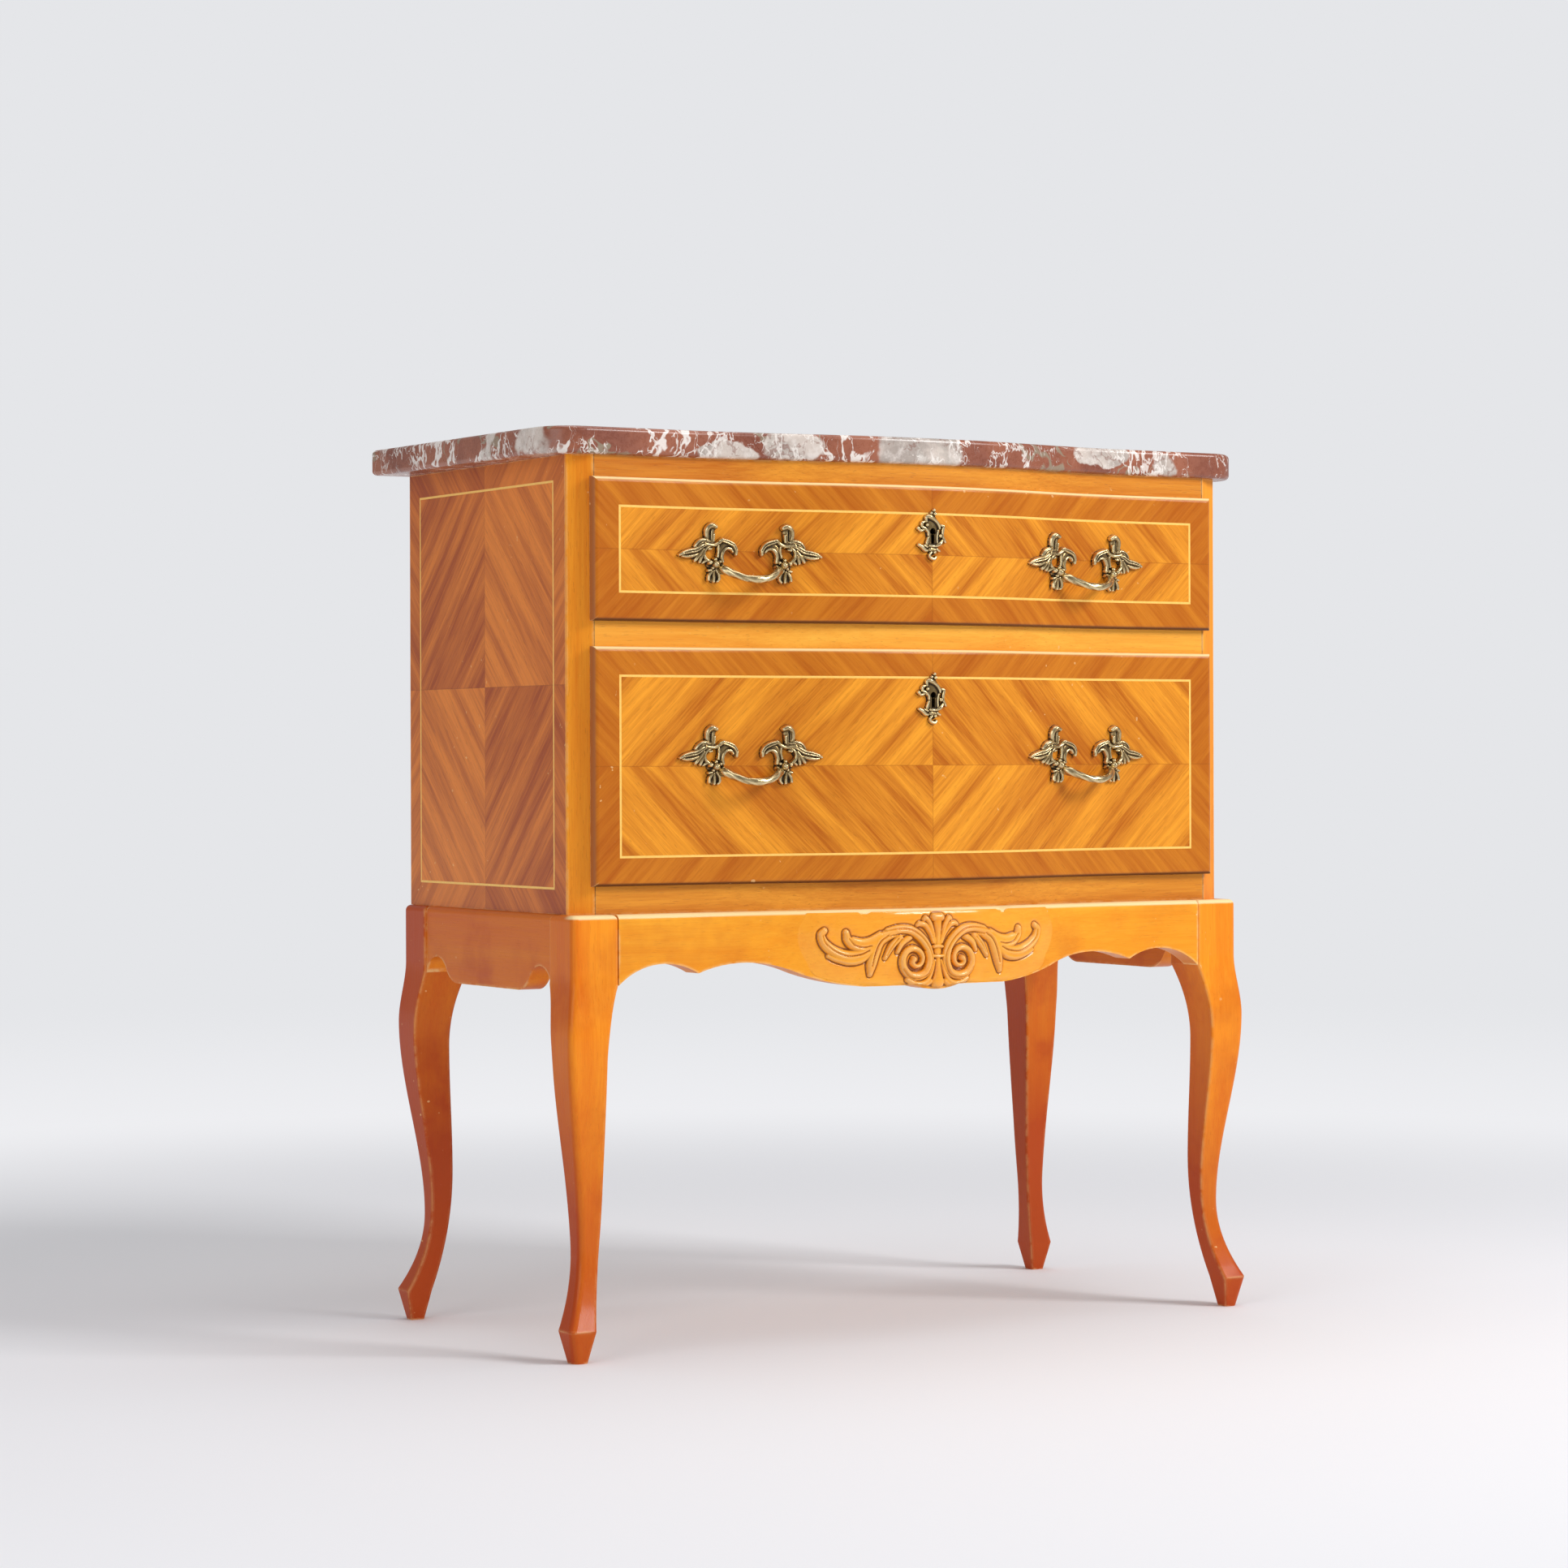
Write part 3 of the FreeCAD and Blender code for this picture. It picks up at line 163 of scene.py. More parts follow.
class ChestColours(bpy.types.PropertyGroup):
    """Colours of the chest's finishes."""
    front_light: colour("Light stripes of the drawer fronts", 245, 161, 44)
    front_dark: colour("Dark stripes of the drawer fronts", 178, 90, 12)
    # A painted highlight, on the upward edges of the drawer fronts and on the ledge at the top front of the
    # stand.
    top_edge_highlight: colour("Pale top edge of the drawer fronts", 255, 224, 164)
    front_rim: colour("Other edges of the drawer fronts", 172, 100, 50)
    side_light: colour("Light stripes of the side panels", 234, 136, 54)
    side_dark: colour("Dark stripes of the side panels", 168, 78, 34)
    string: colour("Inlaid string", 255, 208, 112)
    rail_light: colour("Light grain of the middle rail", 255, 186, 70)
    rail_dark: colour("Dark grain of the middle rail", 236, 150, 46)
    frame_light: colour("Light grain of the other rails", 234, 155, 50)
    frame_dark: colour("Dark grain of the other rails", 190, 103, 24)
    stile_light: colour("Light grain of the stiles", 255, 168, 42)
    stile_dark: colour("Dark grain of the stiles", 228, 126, 22)
    apron_light: colour("Light grain of the aprons", 255, 176, 46)
    apron_dark: colour("Dark grain of the aprons", 244, 148, 26)
    leg_light: colour("Light grain of the legs", 255, 160, 34)
    leg_dark: colour("Dark grain of the legs", 236, 122, 14)
    # Red of the stand: partly its staining, partly painted shade on faces turned from the front, on the rear
    # parts and in the carving's hollows.
    stain_and_shade: colour("Red stain on the stand", 178, 60, 16)
    bare_light: colour("Light grain of the bare wood inside", 228, 188, 138)
    bare_dark: colour("Dark grain of the bare wood inside", 198, 148, 96)
    # Also the paler crests of the carving, there partly a painted highlight.
    worn: colour("Wood showing where the lacquer is worn", 246, 204, 140)
    marble: colour("Marble ground", 156, 92, 66)
    marble_deep: colour("Deeper clouds in the marble", 124, 66, 48)
    marble_pale: colour("Pale patches in the marble", 216, 204, 193)
    marble_vein: colour("White veins in the marble", 240, 232, 224)
    marble_grey: colour("Grey-green streaks in the marble", 150, 142, 120)
    brass: colour("Cast fittings", 158, 131, 86)
    # Bright metal on the crests of the castings, partly worn and partly a painted highlight.
    brass_bright: colour("Rubbed parts and painted highlights of the cast fittings", 224, 205, 160)
    brass_deep: colour("Hollows of the cast fittings", 42, 28, 14)
    steel: colour("Lock and screws", 150, 148, 142)
    floor: colour("Floor", 240, 240, 243)
    backdrop: colour("Background", 229, 230, 233)


class ChestSizes(bpy.types.PropertyGroup):
    """Sizes of the patterns and the ornament."""
    front_inset: length("Drawer string inset", "From the edge of a drawer front to its inlaid string", 0.0245)
    side_inset: length("Side string inset", "From the edge of a side panel to its inlaid string", 0.0215)
    string_width: length("String width", "Width of the inlaid string", 0.0019)
    stripe: length("Stripe width", "Usual width of a stripe in the veneer", 0.011)
    carving_step: length("Carving step", "Distance between points of the carving's surface", 0.0007)
    carving_rise: length("Carving ground", "Swell of the wood round the carving", 0.0012)
    carving_margin: length("Carving margin", "Width of that swell", 0.018)
    casting_step: length("Casting step", "Distance between points of a cast plate's surface", 0.0004)
    sink: length("Ornament sink", "How far the underside of an ornament lies in the wood", 0.0004)


class ChestStage(bpy.types.PropertyGroup):
    """Light round the chest."""
    key: power("Main light", "Power of the large lamp on the right", 91)
    fill: power("Side light", "Power of the lamp on the left", 17)
    top: power("Top light", "Power of the lamp overhead", 28)
    room: FloatProperty(name="Room light", description="Strength of the even light of the room", default=0.46)


def colours():
    return bpy.context.scene.chest_colours


def woods(name):
    """The light and dark colour of a wood."""
    return getattr(colours(), f"{name}_light"), getattr(colours(), f"{name}_dark")


def shade(tint, share):
    """A colour made darker or lighter."""
    return tuple(v * share for v in tint)


def sizes():
    return bpy.context.scene.chest_sizes


def stand(x):
    """How far the front stands before its flat ends: an arc of the radius that leaves the flat end
    tangentially over the outer half of the span, and the same arc turned over for the inner half."""
    reach = np.minimum(np.abs(x), SPAN)
    flank = RADIUS - np.sqrt(RADIUS ** 2 - (SPAN - reach) ** 2)
    crown = BULGE - RADIUS + np.sqrt(RADIUS ** 2 - reach ** 2)
    return np.where(reach > SPAN / 2, flank, crown)


def slope(x):
    """How fast the stand changes along x: the derivative of the two arcs."""
    reach = np.minimum(np.abs(x), SPAN)
    flank = (SPAN - reach) / np.sqrt(RADIUS ** 2 - (SPAN - reach) ** 2)
    crown = reach / np.sqrt(RADIUS ** 2 - reach ** 2)
    return -np.sign(x) * np.where(reach > SPAN / 2, flank, crown)


def on_front(x, z, out, flat_end):
    """Points on the curved front, moved out along its normal: the normal is (-slope, -1) made one long."""
    steep = slope(x)
    norm = np.sqrt(1 + steep ** 2)
    return np.stack([x - out * steep / norm, flat_end - stand(x) - out / norm, z], axis=-1)


def curve(rows, share=12):
    """A Catmull-Rom curve through rows of numbers: each stretch is the cubic that passes through its two
    rows with slopes taken from the rows before and after, all columns alike."""
    rows = np.asarray(rows, float)
    if len(rows) == 1:
        return rows
    padded = np.vstack([2 * rows[0] - rows[1], rows, 2 * rows[-1] - rows[-2]])
    a, b, c, d = (padded[k:len(padded) - 3 + k, None, :] for k in range(4))
    t = (np.arange(share) / share)[None, :, None]
    cubic = b + t / 2 * ((c - a) + t * ((2 * a - 5 * b + 4 * c - d) + t * (3 * b - a - 3 * c + d)))
    return np.vstack([cubic.reshape(-1, rows.shape[1]), rows[-1:]])


def soften(field, passes):
    """A field after repeated averaging of each point with its four neighbours."""
    for _ in range(passes):
        wide = np.pad(field, 1, mode="edge")
        field = (wide[:-2, 1:-1] + wide[2:, 1:-1] + wide[1:-1, :-2] + wide[1:-1, 2:] + 2 * field) / 6
    return field


def smooth(share):
    """The cubic that leaves 0 and reaches 1 level: 3 s^2 - 2 s^3, with s held between 0 and 1."""
    share = np.clip(share, 0, 1)
    return share * share * (3 - 2 * share)


def carved_field(strokes, grooves, step, margin):
    """Height and inside distance of an ornament on a flat grid, all in millimetres.

    A stroke is a curve of (x, z, half width, height). Its section is a half ellipse, so the height is the
    greatest of height * sqrt(1 - (distance / half width)^2) over all points of all strokes, and the inside
    distance is the greatest of half width - distance. A groove takes depth * (1 - (distance / half width)^2)
    away along its own curve. The grid goes on past the ornament by a margin."""
    strokes = [curve(rows) for rows in strokes]
    ends = np.vstack(strokes)
    wide = ends[:, 2].max() + margin + 2 * step
    x = np.arange(ends[:, 0].min() - wide, ends[:, 0].max() + wide, step)
    z = np.arange(ends[:, 1].min() - wide, ends[:, 1].max() + wide, step)
    x, z = np.meshgrid(x, z, indexing="ij")
    height = np.zeros_like(x)
    inside = np.full_like(x, -wide)

    def near(rows):
        """The part of the grid that a curve reaches, the distances there and the curve's half widths."""
        reach = rows[:, 2].max() + margin + 2 * step
        window = []
        for column, start in ((0, x[0, 0]), (1, z[0, 0])):
            first = (rows[:, column].min() - reach - start) / step
            last = (rows[:, column].max() + reach - start) / step + 2
            window.append(slice(int(max(first, 0)), int(max(last, 0))))
        window = tuple(window)
        distance = np.hypot(x[window][..., None] - rows[:, 0], z[window][..., None] - rows[:, 1])
        return window, distance, np.maximum(rows[:, 2], step)

    for rows in strokes:
        window, distance, half = near(rows)
        section = rows[:, 3] * np.sqrt(np.clip(1 - (distance / half) ** 2, 0, 1))
        height[window] = np.maximum(height[window], section.max(-1))
        inside[window] = np.maximum(inside[window], (half - distance).max(-1))
    for rows in (curve(rows) for rows in grooves):
        window, distance, half = near(rows)
        bite = (rows[:, 3] * np.clip(1 - (distance / half) ** 2, 0, 1)).max(-1)
        height[window] = np.maximum(height[window] - bite, np.minimum(height[window], GROOVE_FLOOR))
    return x, z, height, inside


def carved_sheet(strokes, grooves, step, place, shape=None, margin=0):
    """A closed ornament from its field: the cells whose middle is inside make the front, with one more where
    two would touch only at a corner; the outermost points slide along the slope of the inside distance until
    it is zero, so the outline is smooth; a back sheet below the surface and a wall along the outline close
    it. place puts (x, z, out) into the model, and shape changes the height and the inside distance first."""
    x, z, height, inside = carved_field(strokes, grooves, step, margin)
    if shape:
        height, inside = shape(x, z, height, inside)
    cells = (inside[:-1, :-1] + inside[1:, :-1] + inside[1:, 1:] + inside[:-1, 1:]) > 0
    falling = cells[:-1, 1:] & cells[1:, :-1] & ~cells[:-1, :-1] & ~cells[1:, 1:]
    rising = cells[:-1, :-1] & cells[1:, 1:] & ~cells[:-1, 1:] & ~cells[1:, :-1]
    cells[:-1, :-1] |= falling
    cells[1:, :-1] |= rising
    framed = np.pad(cells, 1)
    touching = framed[:-1, :-1].astype(int) + framed[1:, :-1] + framed[1:, 1:] + framed[:-1, 1:]
    used = touching > 0
    rim = used & (touching < 4)
    across, up = np.gradient(inside, step)
    steep = np.maximum(across ** 2 + up ** 2, RIM_SLOPE)
    shift = np.where(rim, np.clip(inside / steep, -RIM_SLIDE * step, RIM_SLIDE * step), 0)
    # On the carving these hollows become painted shade, partly staining, and the crests a painted highlight,
    # partly wear; on the castings the hollows are patina.
    near, wide = ((soften(height, passes) - height) / (deep * height.max())
                  for passes, deep in (NEAR_HOLLOW, WIDE_HOLLOW))
    recess = np.clip(near + WIDE_SHARE * np.clip(wide, 0, 1), -1, 1)
    x = x - shift * across
    z = z - shift * up
    height = np.where(rim, 0, height)
    number = np.cumsum(used).reshape(used.shape) - 1
    count = int(used.sum())
    corner = [number[:-1, :-1], number[1:, :-1], number[1:, 1:], number[:-1, 1:]]
    front = np.stack([c[cells] for c in corner], axis=-1)
    faces = [front, front[:, ::-1] + count]
    neighbours = (framed[1:-1, :-2], framed[2:, 1:-1], framed[1:-1, 2:], framed[:-2, 1:-1])
    for side, beside in enumerate(neighbours):
        open_side = cells & ~beside
        first = corner[side][open_side]
        second = corner[(side + 1) % 4][open_side]
        faces.append(np.stack([second, first, first + count, second + count], axis=-1))
    flat = (x[used], z[used])
    back = np.full(count, -sizes().sink / MM)
    points = np.vstack([place(*flat, height[used]), place(*flat, back)])
    return points, np.vstack(faces), np.zeros((0, 3), int), np.tile(recess[used], 2)


def tube(path, radii, across):
    """A closed tube: rings of points round a path, each in the plane of a fixed direction across the path
    and the product of that direction with the path's own, with its two ends drawn in to a point.
    radii has one row for each point of the path and one column for each point of a ring."""
    along = np.gradient(path, axis=0)
    along /= np.linalg.norm(along, axis=1, keepdims=True)
    side = across - along * (along @ across)[:, None]
    side /= np.linalg.norm(side, axis=1, keepdims=True)
    third = np.cross(along, side)
    rings, columns = radii.shape
    turn = np.linspace(0, 2 * math.pi, columns, endpoint=False)[None, :, None]
    ring = path[:, None] + radii[..., None] * (np.cos(turn) * side[:, None] + np.sin(turn) * third[:, None])
    points = np.vstack([ring.reshape(-1, 3), path[:1], path[-1:]])
    grid = np.arange(rings * columns).reshape(rings, columns)
    beside = np.roll(grid, -1, axis=1)
    quads = np.stack([grid[:-1], beside[:-1], beside[1:], grid[1:]], axis=-1).reshape(-1, 4)
    ends = np.full(columns, rings * columns)
    fans = np.vstack([np.stack([beside[0], grid[0], ends], axis=-1),
                      np.stack([grid[-1], beside[-1], ends + 1], axis=-1)])
    mean = radii.mean(axis=1, keepdims=True)
    # All of the grip is made brighter, partly worn metal and partly a painted highlight.
    recess = np.clip((mean - radii) / (GRIP_HOLLOW * mean) - GRIP_RUB_AND_HIGHLIGHT, -1, 1)
    return points, quads, fans, np.append(recess.ravel(), (0, 0))


def turned_in(parts, mirror):
    """Parts flipped left to right, with their faces turned round so that they still face outwards."""
    if not mirror:
        return parts
    flipped = []
    for points, quads, fans, recess in parts:
        flipped.append((points * np.array((-1, 1, 1)), quads[:, ::-1], fans[:, ::-1], recess))
    return flipped


def on_place(middle, rise, flat_end, side=1):
    """How (x, z, out) of an ornament in millimetres go onto the curved front, mirrored where side is -1."""
    def place(x, z, out):
        return on_front(middle + side * x * MM, rise + z * MM, out * MM, flat_end)
    return place


def new_piece(name, parts, material, body, slot, *nodes):
    """One object from closed parts, each (points, quads, triangles, recess), riding on a body."""
    points, quads, fans, recess = zip(*parts)
    first = np.cumsum([0] + [len(part) for part in points])
    points, recess = np.vstack(points), np.concatenate(recess)
    quads, fans = (np.vstack([part + k for part, k in zip(faces, first)]) for faces in (quads, fans))
    mesh = bpy.data.meshes.new(name)
    mesh.vertices.add(len(points))
    mesh.vertices.foreach_set("co", points.astype(np.float32).ravel())
    corners = np.concatenate([quads.ravel(), fans.ravel()]).astype(np.int32)
    mesh.loops.add(len(corners))
    mesh.loops.foreach_set("vertex_index", corners)
    starts = np.concatenate([np.arange(len(quads)) * 4, len(quads) * 4 + np.arange(len(fans)) * 3])
    mesh.polygons.add(len(starts))
    mesh.polygons.foreach_set("loop_start", starts.astype(np.int32))
    mesh.update(calc_edges=True)
    if mesh.validate():
        raise RuntimeError(f"{name} has faulty faces")
    mesh.polygons.foreach_set("use_smooth", np.ones(len(starts), bool))
    depth = mesh.attributes.new("recess", "FLOAT", "POINT")
    depth.data.foreach_set("value", recess.astype(np.float32))
    mesh.materials.append(material)
    piece = bpy.data.objects.new(name, mesh)
    bpy.context.scene.collection.objects.link(piece)
    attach(piece, body)
    if nodes:
        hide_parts(*nodes)


def finish_nodes(material, *nodes):
    """Give solids of the frame their finish."""
    for node in nodes:
        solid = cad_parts[node]
        solid.data.materials.clear()
        solid.data.materials.append(material)


class Signal:
    """The output of a node. Adding, multiplying and the like carry it on into further nodes."""

    def __init__(self, graph, socket):
        self.graph = graph
        self.socket = socket

    def __add__(self, other):
        return self.graph.sum("ADD", self, other)

    def __sub__(self, other):
        return self.graph.sum("SUBTRACT", self, other)

    def __mul__(self, other):
        return self.graph.sum("MULTIPLY", self, other)

    def __rtruediv__(self, other):
        return self.graph.sum("DIVIDE", other, self)

    def __abs__(self):
        return self.graph.sum("ABSOLUTE", self)


class Graph:
    """Adds nodes to a tree and links them. An input is a plain value or the signal that feeds it."""

    def __init__(self, tree):
        self.tree = tree

    def feed(self, socket, value):
        """Link a signal to a socket, or give it a plain value."""
        if isinstance(value, Signal):
            self.tree.links.new(value.socket, socket)
        else:
            socket.default_value = value

    def node(self, kind, inputs, out=0, **settings):
        """A new node with its inputs and settings; gives one of its outputs."""
        made = self.tree.nodes.new("ShaderNode" + kind)
        for name, value in settings.items():
            setattr(made, name, value)
        for name, value in inputs.items():
            self.feed(made.inputs[name], value)
        return Signal(self, made.outputs[out])

    def group(self, name, inputs):
        """A node group placed in the tree; gives its outputs by name."""
        made = self.tree.nodes.new("ShaderNodeGroup")
        made.node_tree = bpy.data.node_groups[name]
        for socket, value in inputs.items():
            self.feed(made.inputs[socket], value)
        return {out.name: Signal(self, out) for out in made.outputs}

    def sum(self, operation, *values):
        """A sum of any kind, by its name in a Math node."""
        return self.node("Math", dict(enumerate(values)), operation=operation)

    def steps(self, value, low, high, first=0.0, last=1.0):
        """The value moved smoothly from first at low to last at high."""
        return self.node("MapRange", {"Value": value, "From Min": low, "From Max": high, "To Min": first,
                                      "To Max": last}, interpolation_type="SMOOTHSTEP")

    def blend(self, share, first, second):
        """Two colours mixed by a share."""
        pair = [value if isinstance(value, Signal) else (*value, 1) for value in (first, second)]
        return self.node("Mix", {0: share, 6: pair[0], 7: pair[1]}, 2, data_type="RGBA")

    def axes(self, vector):
        """The X, Y and Z of a vector."""
        made = self.node("SeparateXYZ", {"Vector": vector}).socket.node
        return {out.name: Signal(self, out) for out in made.outputs}

    def facing(self):
        """The X, Y and Z of the direction that the surface faces."""
        return self.axes(self.node("NewGeometry", {}, "Normal"))

    def away(self, vector):
        """The length of a vector."""
        return self.node("VectorMath", {0: vector}, "Value", operation="LENGTH")

    def stretch(self, place, scale=(1, 1, 1), shift=(0, 0, 0), turn=(0, 0, 0)):
        """A place scaled, turned and moved."""
        return self.node("Mapping", {"Vector": place, "Location": shift, "Rotation": turn, "Scale": scale})

    def noise(self, place, scale, detail=2.0, rough=0.5, twist=0.0, out="Fac"):
        """Soft noise between 0 and 1, or three of them at once where out is Color."""
        return self.node("TexNoise", {"Vector": place, "Scale": scale, "Detail": detail, "Roughness": rough,
                                      "Distortion": twist}, out)


class Group(Graph):
    """A new node group. Its sockets are values, but for Place, which is a vector."""

    def __init__(self, name, inputs, outputs):
        super().__init__(bpy.data.node_groups.new(name, "ShaderNodeTree"))
        for way, names in (("INPUT", inputs), ("OUTPUT", outputs)):
            for socket in names:
                kind = "NodeSocketVector" if socket == "Place" else "NodeSocketFloat"
                self.tree.interface.new_socket(socket, in_out=way, socket_type=kind)
        entry = self.tree.nodes.new("NodeGroupInput")
        self.given = {out.name: Signal(self, out) for out in entry.outputs}
        self.leave = self.tree.nodes.new("NodeGroupOutput")

    def give(self, **results):
        """Hand results to the group's outputs."""
        for name, value in results.items():
            self.feed(self.leave.inputs[name], value)


class Finish(Graph):
    """A new material. Its place is that of a point on the piece."""

    def __init__(self, name, **settings):
        self.material = bpy.data.materials.new(name)
        self.material.use_nodes = True
        super().__init__(self.material.node_tree)
        self.shader = self.tree.nodes["Principled BSDF"]
        self.place = self.node("TexCoord", {}, "Object")
        self.set(**settings)

    def set(self, **settings):
        """Feed sockets of the shader."""
        for name, value in settings.items():
            self.feed(self.shader.inputs[name.replace("_", " ")], value)

    def bump(self, height, depth):
        """Small relief in the surface itself; depth is in metres."""
        self.set(Normal=self.node("Bump", {"Height": height, "Distance": depth, "Strength": 1.0}))

    def recess(self):
        """How far a point of an ornament lies in a hollow; below nought where it stands out."""
        return self.node("Attribute", {}, "Fac", attribute_name="recess")

    def grain(self, along, band):
        """Wood figure with its grain along X, Y or Z."""
        turn = {"X": (0, math.pi / 2, 0), "Y": (math.pi / 2, 0, 0), "Z": (0, 0, 0)}[along]
        return self.group("Wood grain", {"Place": self.stretch(self.place, turn=turn), "Band": band})

    def lacquer(self, wood, grain, rough, worn, radius, relief):
        """Hand wood to the shader, with paler and duller wood where the lacquer is worn."""
        if worn:
            wear = self.group("Worn lacquer", {"Place": self.place, "Radius": radius, "Amount": worn})
            wood = self.blend(wear["Lost"], wood, colours().worn)
            rough = rough + wear["Lost"] * WORN_DULLING
        self.set(Base_Color=wood, Roughness=rough)
        self.bump(grain["Fibre"] - grain["Pores"], relief)


def make_grain_group():
    """Wood figure on a place whose Z runs along the grain: Tone is slow and wide, Fibre is fine streaks and
    Pores are short dark dashes; each is noise squeezed along the grain."""
    graph = Group("Wood grain", ("Place", "Band"), ("Tone", "Fibre", "Pores"))
    place = graph.given["Place"]
    bands = graph.node("VectorMath", {"Vector": graph.stretch(place, (1, 1, 0.06)),
                                      "Scale": 1.0 / graph.given["Band"]}, operation="SCALE")
    slow = graph.steps(graph.noise(bands, 0.6, 2.0, 0.5, 0.2), 0.32, 0.68)
    quick = graph.steps(graph.noise(bands, 2.3, 2.0, 0.6, 0.1), 0.34, 0.66)
    fine = graph.noise(graph.stretch(place, (1, 1, 0.035)), 620.0, 3.0, 0.6)
    dash = graph.noise(graph.stretch(place, (1, 1, 0.09)), 1150.0, 1.0, 0.5)
    graph.give(Tone=slow * 0.68 + quick * 0.34, Fibre=graph.steps(fine, 0.32, 0.68),
               Pores=graph.steps(dash, 0.62, 0.74))


def make_match_group():
    """Four-way matched veneer. With |u| and |v| from the middle of the panel, the field's grain runs along
    lines of equal |u| + |v|, which makes nested diamonds; the border outside the string runs along lines of
    equal |u| - |v|. Place is laid out for the grain group, and each quarter reads its own stretch of wood."""
    graph = Group("Matched veneer", ("Across", "Up", "Half width", "Half height", "Inset", "String width"),
                  ("Place", "String", "Border", "Quarter", "Joint"))
    given = graph.given
    across, up = abs(given["Across"]), abs(given["Up"])
    edge = graph.sum("MINIMUM", given["Half width"] - across, given["Half height"] - up)
    border = graph.sum("LESS_THAN", edge, given["Inset"])
    half = given["String width"] * 0.5
    string = graph.steps(abs(edge - given["Inset"]), half + STRING_BLUR, half - STRING_BLUR)
    total, rest = (across + up) * DIAGONAL, (across - up) * DIAGONAL
    quarter = graph.sum("SIGN", given["Across"]) * graph.sum("SIGN", given["Up"])
    place = graph.node("CombineXYZ", {"X": graph.node("Mix", {0: border, 2: total, 3: rest}),
                                      "Y": border * BORDER_DEPTH + quarter * QUARTER_DEPTH,
                                      "Z": graph.node("Mix", {0: border, 2: rest, 3: total})})
    graph.give(Place=place, String=string, Border=border, Quarter=quarter,
               Joint=graph.steps(graph.sum("MINIMUM", across, up), *VENEER_JOINT))


def make_wear_group():
    """Where lacquer wears off: arrises, found by comparing the surface's direction with one rounded over a
    small radius, broken up by noise, and scattered specks."""
    graph = Group("Worn lacquer", ("Place", "Radius", "Amount"), ("Lost",))
    place = graph.given["Place"]
    rounded = graph.node("Bevel", {"Radius": graph.given["Radius"]}, samples=4)
    straight = graph.node("NewGeometry", {}, "Normal")
    same = graph.node("VectorMath", {0: rounded, 1: straight}, "Value", operation="DOT_PRODUCT")
    broken = graph.steps(graph.noise(place, 70.0, 4.0, 0.65), 0.37, 0.56)
    dots = graph.steps(graph.noise(place, 190.0, 1.0, 0.4), 0.765, 0.80)
    sparse = graph.steps(graph.noise(place, 9.0), 0.45, 0.62)
    lost = graph.sum("MAXIMUM", graph.steps(same, 0.988, 0.9) * broken, dots * sparse)
    graph.give(Lost=lost * graph.given["Amount"])


def veneer(name, across_axis, middle, half, inset, tints, border_shade, quarter_tone_and_sheen, keyhole=None):
    """Matched veneer with its inlaid string, lacquered. middle and half are the panel's in metres, and tints
    the light and dark stripes. Opposite quarters can be paler than the others, partly the wood's own tone and
    partly a painted sheen. A drawer front has a painted highlight on its top edge, brown side edges, a
    painted shadow on its bottom edge, a bare back and, at the height of its keyhole, painted shade in the
    keyhole."""
    light, dark = tints
    graph = Finish(name, Coat_Weight=0.1, **SATIN)
    axes = graph.axes(graph.stretch(graph.place, shift=[-v for v in middle]))
    panel = graph.group("Matched veneer", {
        "Across": axes[across_axis], "Up": axes["Z"], "Half width": half[0], "Half height": half[1],
        "Inset": inset, "String width": sizes().string_width})
    grain = graph.group("Wood grain", {"Place": panel["Place"], "Band": sizes().stripe})
    # Opposite quarters shift the tone, partly the wood's own tone and partly a painted sheen of the flipped
    # grain.
    share = grain["Tone"] * 0.8 + grain["Fibre"] * 0.24 + panel["Quarter"] * quarter_tone_and_sheen
    wood = graph.blend(share, dark, light)
    wood = graph.blend(panel["Border"] * border_shade, wood, dark)
    wood = graph.blend(grain["Pores"] * 0.25, wood, shade(dark, 0.5))
    wood = graph.blend(panel["Joint"] * 0.3, wood, shade(dark, 0.55))
    string = graph.blend(grain["Fibre"] * 0.25, colours().string, light)
    wood = graph.blend(panel["String"], wood, string)
    if keyhole is not None:
        wood = front_edges(graph, wood)
        # Painted shade: the wood in and round the keyhole is painted almost black.
        low = graph.sum("LESS_THAN", abs(axes["Z"] - keyhole), (KEY_HALF_HEIGHT + KEY_MARGIN) * MM)
        hole = graph.sum("LESS_THAN", abs(axes["X"]), (KEY_BORE + KEY_MARGIN) * MM) * low
        wood = graph.blend(hole, wood, shade(dark, 0.02))
    graph.lacquer(wood, grain, grain["Fibre"] * 0.08 + 0.3, 0.55, VENEER_ARRIS, FINE_RELIEF)
    return graph.material


def front_edges(graph, wood):
    """The bare back and the edges of a drawer front, found by the way that they face: a painted highlight on
    the top edge, brown side edges and a painted shadow under the bottom edge.
    """
    tints = colours()
    facing = graph.facing()
    bare = graph.blend(graph.grain("X", sizes().stripe)["Tone"], tints.bare_dark, tints.bare_light)
    for way, sign, low, high, tint in (
            (facing["Y"], 1, 0.3, 0.75, bare),
            # Painted highlight: the upward top edge is painted pale.
            (facing["Z"], 1, 0.3, 0.75, tints.top_edge_highlight),
            (abs(facing["X"]), 1, 0.5, 0.9, tints.front_rim),
            # Painted shadow: the downward bottom edge is painted dark brown.
            (facing["Z"], -1, 0.3, 0.75, shade(tints.front_rim, 0.3))):
        wood = graph.blend(graph.steps(way, sign * low, sign * high), wood, tint)
    return wood


